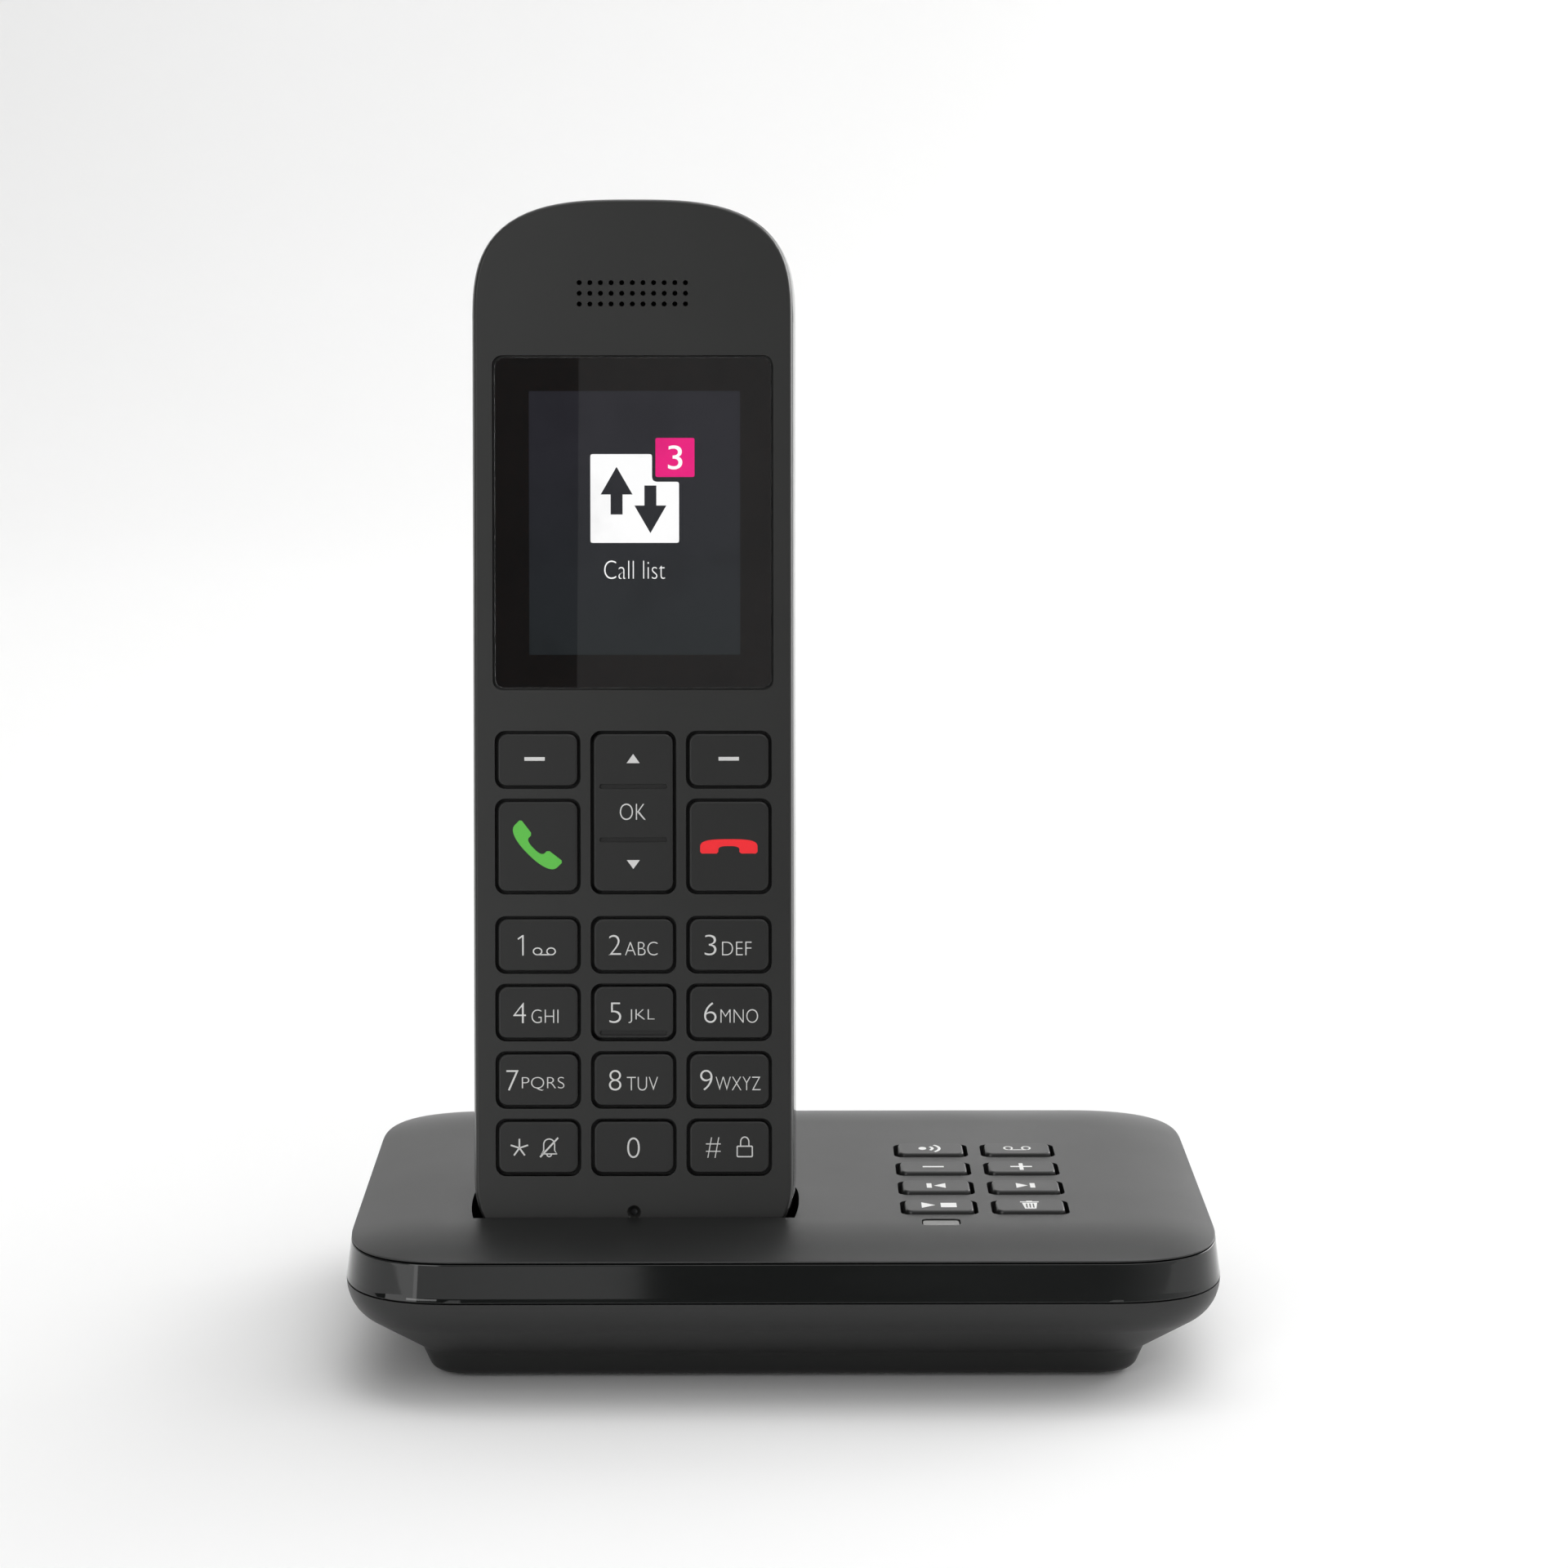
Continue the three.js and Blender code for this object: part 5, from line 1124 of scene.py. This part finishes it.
door_plan = (*door_size, DOOR_CORNER - DOOR_GAP, door_low[2], door_high[2])
battery_door = piece("battery_lid", docked(rounded_block(*door_plan, 0, door_up, 9)))
for groove in range(GRIP_GROOVES):
    y = door_high[1] - GRIP_DROP - groove * GRIP_PITCH
    groove_span = (-HANDSET_THICKNESS - 1, -HANDSET_THICKNESS + GRIP_DEPTH)
    carved(battery_door, docked(rounded_block(*GRIP_GROOVE, *groove_span, 0, y, 6)))
eased(battery_door, 0.15, 2, 45)
fitted(battery_door, "battery_door", "matte_shell", rear_satin, "battery_door")


# ---- Keys of the handset ----
# Satin ABS caps on flanges behind the face, with a rounded rim. The tall middle key has two engraved
# bars between its up, OK and down parts, and the 5 has one that a thumb can find.
HANDSET_KEY_GAP = 0.45
HANDSET_KEY_ROLL = 0.35
HANDSET_CAP_CORNER = 1.35
KEY_BAR = (10.1, 0.72, 0.35)
KEY_BAR_DEPTH = 0.45
NAVIGATION_BAR_UP = (72.8, 64.8)
FIVE_BAR_DROP = 3.08
KEY_BLACK = (0.0088, 0.0090, 0.0086, 1.0)


def key_body(name):
    """The body that a handset key moves with."""
    return "navigation_key" if name == "navigation" else "key_" + name + "_cap"


key_satin = moulded("satin_key_abs", KEY_BLACK, 0.45, grain=3800.0, relief=0.006, specular=0.44)
key_sizes = (HANDSET_KEY_FLANGE, HANDSET_KEY_FLANGE, HANDSET_KEY_GAP, 0.0, HANDSET_KEY_ROLL)
key_tops = {}
for name in HANDSET_KEYS:
    low, high = bench_box("key_" + name)
    made = piece("cap_" + name, docked(cap(low, high, *key_sizes, HANDSET_CAP_CORNER)))
    bars = NAVIGATION_BAR_UP if name == "navigation" else ()
    if name == "5":
        bars = ((low[1] + high[1]) / 2 - FIVE_BAR_DROP,)
    for up in bars:
        groove = rounded_block(*KEY_BAR, high[2] - KEY_BAR_DEPTH, high[2] + 1, 0, up, 6)
        carved(made, docked(groove))
    if bars:
        eased(made, 0.07, 2, 60)
    key_tops[name] = np.array([*(low[:2] + high[:2]) / 2, high[2] + INK_LIFT])
    fitted(smoothed(made, 40), key_body(name), "key_cap", key_satin, "key_" + name)


# ---- Printing on the handset keys ----
# Thin light grey ink: a digit and its letters, or a sign, on each cap. The call key's receiver is green
# and the end key's is red.
DIGIT_SPAN = (-1.57, 1.50)
LETTER_SPAN = (-1.57, 0.47)
SIGN_LINE = 0.18
LETTER_THINNING = -0.019
GREEN_INK = (0.105, 0.52, 0.060, 1.0)
RED_INK = (0.98, 0.012, 0.022, 1.0)
# Each key's digit and letters with the left and right of each, from the middle of the cap.
LEGENDS = {
    "2": [("2", -3.71, -1.87), ("ABC", -1.26, 3.64)],
    "3": [("3", -3.74, -1.90), ("DEF", -1.04, 3.37)],
    "4": [("4", -3.72, -1.82), ("GHI", -0.98, 3.06)],
    "5": [("5", -3.71, -1.87), ("JKL", -0.77, 3.15)],
    "6": [("6", -3.74, -1.90), ("MNO", -1.29, 4.35)],
    "7": [("7", -4.78, -2.94), ("PQRS", -2.45, 3.92)],
    "8": [("8", -3.71, -1.87), ("TUV", -1.02, 3.64)],
    "9": [("9", -4.35, -2.51), ("WXYZ", -2.02, 4.72)],
    "0": [("0", -1.00, 0.90)],
    "hash": [("#", -3.5, -1.29)],
}


def lettered(name, text, left, right, low, high, place, thinning=LETTER_THINNING):
    """Printed text stretched to fill a box from left to right and from low to high. Place is as for
    printed, and thinning moves the letters' edges in or out."""
    curve = bpy.data.curves.new(name, "FONT")
    curve.body = text
    curve.offset = thinning
    curve.extrude = INK_THICKNESS / 2

    def stretched(places):
        start, end = places.min(0), places.max(0)
        share = (places[:, :2] - start[:2]) / (end[:2] - start[:2])
        flat = share * (right - left, high - low) + (left, low)
        return place(np.column_stack([flat, np.sign(places[:, 2]) * INK_THICKNESS / 2]))

    return inked(name, curve, stretched)


def joined(name, parts):
    """Several meshes of ink as one object."""
    meshes = [part.data for part in parts]
    points, faces = [], []
    for mesh in meshes:
        flat = np.empty(len(mesh.vertices) * 3, np.float32)
        mesh.vertices.foreach_get("co", flat)
        points.append(flat.reshape(-1, 3).astype(float) / MM)
        faces.append([list(polygon.vertices) for polygon in mesh.polygons])
    for part in parts:
        bpy.data.objects.remove(part)
    return piece(name, together(*zip(points, faces)))


def receiver(length, height, bow):
    """A telephone receiver seen from the side, earpieces down: a squarish arch less a smaller arch, then
    bent so that each point drops by bow times its distance from the middle squared."""
    half = length / 2
    turn = np.linspace(0, np.pi, 41)
    over = np.sign(np.cos(turn)) * np.abs(np.cos(turn)) ** (2 / 3.2) * half
    top = -0.1 * height + 0.6 * height * np.abs(np.sin(turn)) ** (2 / 3.2)
    inner = half * 0.37
    under = -np.sign(np.cos(turn)) * np.abs(np.cos(turn)) ** (2 / 3.0) * inner
    arch = -0.28 * height + 0.30 * height * np.abs(np.sin(turn)) ** (2 / 3.0)
    foot = -0.5 * height
    ease = 0.12 * height
    left = [(-half, foot + ease), (-half + ease, foot), (-inner - ease, foot), (-inner, foot + ease)]
    right = [(inner, foot + ease), (inner + ease, foot), (half - ease, foot), (half, foot + ease)]
    edge = np.concatenate([np.stack([over, top], 1), left, np.stack([under, arch], 1), right])
    return np.column_stack([edge[:, 0], edge[:, 1] - bow * edge[:, 0] ** 2])


def turned(points, degrees):
    """Flat points turned about their origin."""
    c, s = math.cos(math.radians(degrees)), math.sin(math.radians(degrees))
    return np.asarray(points) @ np.array([[c, s], [-s, c]])


def moved(points, x, y):
    """Flat points shifted by x and y."""
    return np.asarray(points, float) + (x, y)


def star_sign(x, y, radius):
    """Five thin arms from one point."""
    arms = []
    for arm in range(5):
        end = radius * np.array([math.sin(arm * math.tau / 5), math.cos(arm * math.tau / 5)])
        arms.append(moved(ribbon(np.array([end * 0.04, end]), 0.24), x, y))
    return arms


def bell_sign(x, y):
    """The outline of a bell with its clapper, struck through."""
    crown = arc(0, 0.45, 0.82, 0.82, 0, 180, 16)
    edge = [(0.82, -0.45), *crown, (-0.82, -0.45), (-1.2, -0.98), (1.2, -0.98), (0.82, -0.45)]
    lines = [
        ribbon(np.array(edge), SIGN_LINE),
        ribbon(arc(0, -1.05, 0.34, 0.34, 180, 360, 10), SIGN_LINE),
        ribbon(np.array([(-1.35, -1.45), (1.35, 1.45)]), 0.26),
    ]
    return [moved(line, x, y) for line in lines]


def padlock_sign(x, y):
    """The outline of a padlock: a box and a shackle."""
    box_outline = outline(2.45, 1.75, 0.22, 2.0, 4)
    hole = outline(2.45 - 2 * SIGN_LINE, 1.75 - 2 * SIGN_LINE, 0.1, 2.0, 4)
    shackle = np.concatenate([[(0.62, 0.85)], arc(0, 1.45, 0.62, 0.72, 0, 180, 16), [(-0.62, 0.85)]])
    return [moved(part, x, y) for part in (box_outline, hole, ribbon(shackle, SIGN_LINE))]


ONE = [(-2.36, -1.57), (-2.13, -1.57), (-2.13, 1.50), (-2.32, 1.50)]
ONE += [(-3.05, 0.98), (-2.95, 0.80), (-2.36, 1.2)]
HANDSET_SIGNS = {
    "soft_left": [[bar(-1.96, 1.10, -0.13, 0.42)]],
    "soft_right": [[bar(-1.53, 1.53, -0.13, 0.42)]],
    "1": [
        [np.array(ONE)],
        ring(-0.05, -0.95, 0.72, 0.60, SIGN_LINE),
        ring(1.98, -0.95, 0.72, 0.60, SIGN_LINE),
        [bar(-0.05, 1.98, -1.55, -1.55 + SIGN_LINE)],
    ],
    "star": [[line] for line in star_sign(-2.85, -0.05, 1.38) + bell_sign(1.62, 0.03)],
    "hash": [padlock_sign(2.33, -0.62)],
    "navigation": [
        [np.array([(0.0, 8.80), (-0.98, 7.42), (0.98, 7.42)])],
        [np.array([(0.0, -8.45), (0.98, -7.12), (-0.98, -7.12)])],
    ],
}
handset_ink = ink_material("pale_grey_ink", (0.66, 0.66, 0.65, 1.0))


def on_key(name):
    """Puts flat printing on the top of a handset key."""
    return lambda flat: on_bench(flat + key_tops[name])


for name in HANDSET_KEYS:
    parts = []
    for place_in_row, (text, left, right) in enumerate(LEGENDS.get(name, [])):
        span = LETTER_SPAN if place_in_row else DIGIT_SPAN
        parts.append(lettered("letters", text, left, right, *span, on_key(name)))
    if name == "navigation":
        parts.append(lettered("letters", "OK", -2.0, 1.85, -1.10, 1.35, on_key(name)))
    for sign in HANDSET_SIGNS.get(name, []):
        parts.append(printed("sign", sign, on_key(name)))
    if parts:
        fitted(joined("legend_" + name, parts), key_body(name), "key_cap", handset_ink)

green_receiver = [turned(receiver(9.0, 2.5, 0.022), 135) + (-0.55, -0.25)]
red_receiver = [receiver(8.6, 2.15, 0.0)]
green_ink = ink_material("green_ink", GREEN_INK)
red_ink = ink_material("red_ink", RED_INK)
fitted(printed("legend_call", green_receiver, on_key("call")), "key_call_cap", "key_cap", green_ink)
fitted(printed("legend_end", red_receiver, on_key("end")), "key_end_cap", "key_cap", red_ink)


# ---- Display ----
# A small colour panel behind a clear acrylic window. The window's back is printed black round the lit
# area. The picture is a white tile with two arrows, a magenta badge with a count, and a caption.
LIT_SIZE = (31.65, 39.5)
LIT_MIDDLE = 0.26
BORDER_BACK = -0.84
PANEL_FRONT = -1.5
PANEL_BACK = -1.88
PANEL_MARGIN = 1.2
PICTURE_LIFT = 0.012
TILE_HALF = 6.65
TILE_UP = 3.7
TILE_EASE = 0.35
TILE_NOTCH = [(3.2, 2.5), (2.75, 2.7), (2.6, 3.15)]
ARROW = [(0.0, 3.55), (-2.4, -0.6), (-0.9, -0.6), (-0.9, -3.6), (0.9, -3.6), (0.9, -0.6), (2.4, -0.6)]
BORDER_BLACK = (0.004, 0.0015, 0.0010, 1.0)
BADGE_WHITE = (1.0, 1.0, 1.0, 1.0)
BADGE_MAGENTA = (0.78, 0.0, 0.19, 1.0)


def lit(name, colour, strength, unevenness=0.03):
    """A lit part of the picture: an even glow with a faint mottling from the backlight."""
    material, tree, shader = new_material(name)
    place = wired(tree, "TexCoord", {}).outputs["Object"]
    look = {"Place": place, "Colour": colour, "Grain": 900.0, "Unevenness": unevenness}
    skin = wired(tree, "Group", look, node_tree=moulded_grain)
    glow = {"Emission Color": skin.outputs["Colour"], "Emission Strength": strength}
    feed(tree, shader, glow | {"Base Color": (0.01, 0.01, 0.01, 1.0)})
    feed(tree, shader, {"Roughness": 0.9, "Specular IOR Level": 0.0})
    return material


def on_screen(height):
    """Puts flat printing on the display at a height out of the face. The lit area's middle is its
    origin."""
    shift = np.array([LIT_MIDDLE, window_up, height])
    return lambda flat: on_bench(flat + shift)


pane_rings = []
pane_profile = [(0.06, pane_low[2]), (0, pane_low[2] + 0.06), (0, -0.14), (0.04, -0.05), (0.14, 0.0)]
for inset, height in pane_profile:
    plan = outline(*(pane_size[:2] - 2 * inset), WINDOW_CORNER - inset, 2.0, 9)
    pane_rings.append(level(plan + (0, window_up), height))
window_pane = smoothed(piece("window_pane", docked(stack(pane_rings))), 30)
pane_acrylic = polished("clear_acrylic", (1.0, 1.0, 1.0, 1.0), 0.0, 0.004, (60.0, 60.0, 60.0))
pane_shader = pane_acrylic.node_tree.nodes["Principled BSDF"]
feed(pane_acrylic.node_tree, pane_shader, {"Transmission Weight": 1.0, "IOR": 1.49})
fitted(window_pane, "handset", "window_pane", pane_acrylic, "display_window")

border_outside = outline(*(pane_size[:2] - 0.1), WINDOW_CORNER, 2.0, 9) - (LIT_MIDDLE, 0)
border_inside = outline(*LIT_SIZE, 0.05, 2.0, 2)
border = printed("window_border", [border_outside, border_inside], on_screen(BORDER_BACK))
border_ink = moulded("black_border_print", BORDER_BLACK, 0.9, relief=0.002, specular=0.0)
fitted(border, "handset", "window_pane", border_ink)

panel_plan = (LIT_SIZE[0] + 2 * PANEL_MARGIN, LIT_SIZE[1] + 2 * PANEL_MARGIN, 0.3)
panel_place = (PANEL_BACK, PANEL_FRONT, LIT_MIDDLE, window_up, 3)
panel = piece("display_panel", docked(rounded_block(*panel_plan, *panel_place)))
panel_glow, tree, shader = new_material("display_glow")
spot = wired(tree, "TexCoord", {}).outputs["Object"]
height = wired(tree, "SeparateXYZ", {"Vector": spot}).outputs["Z"]
fall = wired(tree, "MapRange", {"From Min": 0.10, "From Max": 0.14, "Value": height}).outputs["Result"]
tones = {"A": (0.0105, 0.0145, 0.0155, 1.0), "B": (0.0140, 0.0138, 0.0195, 1.0), "Factor": fall}
glow = wired(tree, "Mix", tones, data_type="RGBA").outputs["Result"]
feed(tree, shader, {"Emission Color": glow, "Emission Strength": 1.0, "Roughness": 0.9})
feed(tree, shader, {"Base Color": (0.002, 0.002, 0.002, 1.0), "Specular IOR Level": 0.0})
fitted(smoothed(panel, 40), "handset", "display_panel", panel_glow)

tile = [(-TILE_HALF, TILE_UP - TILE_HALF), (TILE_HALF, TILE_UP - TILE_HALF), (TILE_HALF, TILE_UP + 2.5)]
tile += [(x, TILE_UP + y) for x, y in TILE_NOTCH]
tile += [(TILE_NOTCH[-1][0], TILE_UP + TILE_HALF), (-TILE_HALF, TILE_UP + TILE_HALF)]
tile = np.array(tile)
tile_eased = []
for before, corner, after in zip(np.roll(tile, 1, 0), tile, np.roll(tile, -1, 0)):
    back, on = before - corner, after - corner
    reach = min(TILE_EASE, 0.4 * np.linalg.norm(back), 0.4 * np.linalg.norm(on))
    start = corner + back / np.linalg.norm(back) * reach
    end = corner + on / np.linalg.norm(on) * reach
    for share in (0, 0.33, 0.67, 1):
        bend = 2 * share * (1 - share) * corner
        tile_eased.append((1 - share) ** 2 * start + bend + share**2 * end)
up_arrow = moved(ARROW, -2.72, TILE_UP + 1.2)
down_arrow = moved(turned(ARROW, 180), 2.35, TILE_UP - 1.65)
picture = on_screen(PANEL_FRONT + PICTURE_LIFT)
white_light = lit("white_picture", BADGE_WHITE, 1.05)
tile_piece = printed("picture_tile", [np.array(tile_eased), up_arrow, down_arrow], picture)
fitted(tile_piece, "handset", "display_panel", white_light)
badge = printed("picture_badge", [moved(outline(5.85, 5.85, 0.25, 2.0, 4), 6.05, 9.85)], picture)
fitted(badge, "handset", "display_panel", lit("magenta_picture", BADGE_MAGENTA, 1.1))
over_badge = on_screen(PANEL_FRONT + 3 * PICTURE_LIFT)
count = lettered("picture_count", "3", 5.0, 7.15, 8.05, 11.65, over_badge, 0.0)
fitted(count, "handset", "display_panel", white_light)
caption = lettered("picture_caption", "Call list", -4.6, 4.6, -8.35, -5.6, picture, -0.02)
fitted(caption, "handset", "display_panel", white_light)


# ---- Metal parts ----
# Plated spring contacts and pads, and steel screws with a recessed cross. Their plating is drawn a
# little, so the reflections run lengthwise.
BRUSH_STRETCH = (900.0, 900.0, 60.0)


def plated(name, colour, roughness):
    """Metal with fine drawn streaks in its roughness and its shade."""
    material = polished(name, colour, roughness, 0.12, BRUSH_STRETCH)
    feed(material.node_tree, material.node_tree.nodes["Principled BSDF"], {"Metallic": 1.0})
    return material


def dressed(material, *nodes):
    """CAD nodes whose shape is right get a material of their own."""
    for node in nodes:
        mesh = frame["nodes"][node].data
        mesh.materials.clear()
        mesh.materials.append(material)


gold_plating = plated("gold_plating", (0.78, 0.60, 0.30, 1.0), 0.22)
dressed(gold_plating, "charge_contact_left", "charge_contact_right")
nickel_plating = plated("nickel_plating", (0.66, 0.65, 0.62, 1.0), 0.25)
dressed(nickel_plating, "charge_pad_left", "charge_pad_right", "battery_bridge")
screw_steel = plated("zinc_plated_steel", (0.50, 0.51, 0.53, 1.0), 0.32)
dressed(screw_steel, "base_screw_left", "base_screw_right", "handset_screw_left", "handset_screw_right")


# ---- Boards, sockets and sound parts ----
# What lies inside: green circuit boards with their copper traces under the mask, black nylon sockets,
# steel-backed loudspeakers, a silicone key mat and two cells in printed sleeves.
TRACE_SCALE = 420.0


def board_material():
    """Solder mask over copper: squarish cells stand for the traces, a little lighter."""
    material = moulded("solder_mask", (0.008, 0.075, 0.030, 1.0), 0.35, grain=1500.0, relief=0.01)
    tree = material.node_tree
    place = tree.nodes["Texture Coordinate"].outputs["Object"]
    cells = {"Scale": TRACE_SCALE, "Vector": place}
    traces = wired(tree, "TexVoronoi", cells, distance="CHEBYCHEV", feature="F1").outputs["Distance"]
    limits = {"From Min": 0.35, "From Max": 0.45, "Value": traces}
    edge = wired(tree, "MapRange", limits).outputs["Result"]
    mask = tree.nodes["Group"].outputs["Colour"]
    tones = {"A": mask, "B": (0.03, 0.17, 0.06, 1.0), "Factor": edge}
    tone = wired(tree, "Mix", tones, data_type="RGBA").outputs["Result"]
    feed(tree, tree.nodes["Principled BSDF"], {"Base Color": tone})
    return material


sleeve = polished("printed_sleeve", (0.03, 0.20, 0.08, 1.0), 0.25, 0.08)
steel = moulded("speaker_steel", (0.09, 0.095, 0.10, 1.0), 0.45, grain=900.0, unevenness=0.15)
felt = moulded("earpiece_felt", (0.010, 0.010, 0.010, 1.0), 0.9, grain=5200.0, relief=0.03)
nylon = moulded("black_nylon", (0.010, 0.010, 0.010, 1.0), 0.5, grain=2200.0)
silicone = moulded("black_silicone", (0.014, 0.014, 0.014, 1.0), 0.7, grain=1500.0)
acetal = moulded("natural_acetal", (0.55, 0.55, 0.50, 1.0), 0.5, grain=1800.0)
panel_steel = moulded("panel_frame_steel", (0.12, 0.12, 0.12, 1.0), 0.4, grain=1200.0)
dressed(board_material(), "base_board", "handset_board")
dressed(nylon, "line_socket", "power_socket")
dressed(steel, "base_loudspeaker", "handset_ringer", "microphone")
dressed(felt, "earpiece")
dressed(silicone, "keypad_mat")
dressed(acetal, "navigation_carrier")
dressed(panel_steel, "display_module")
dressed(sleeve, "battery_cell_left", "battery_cell_right")
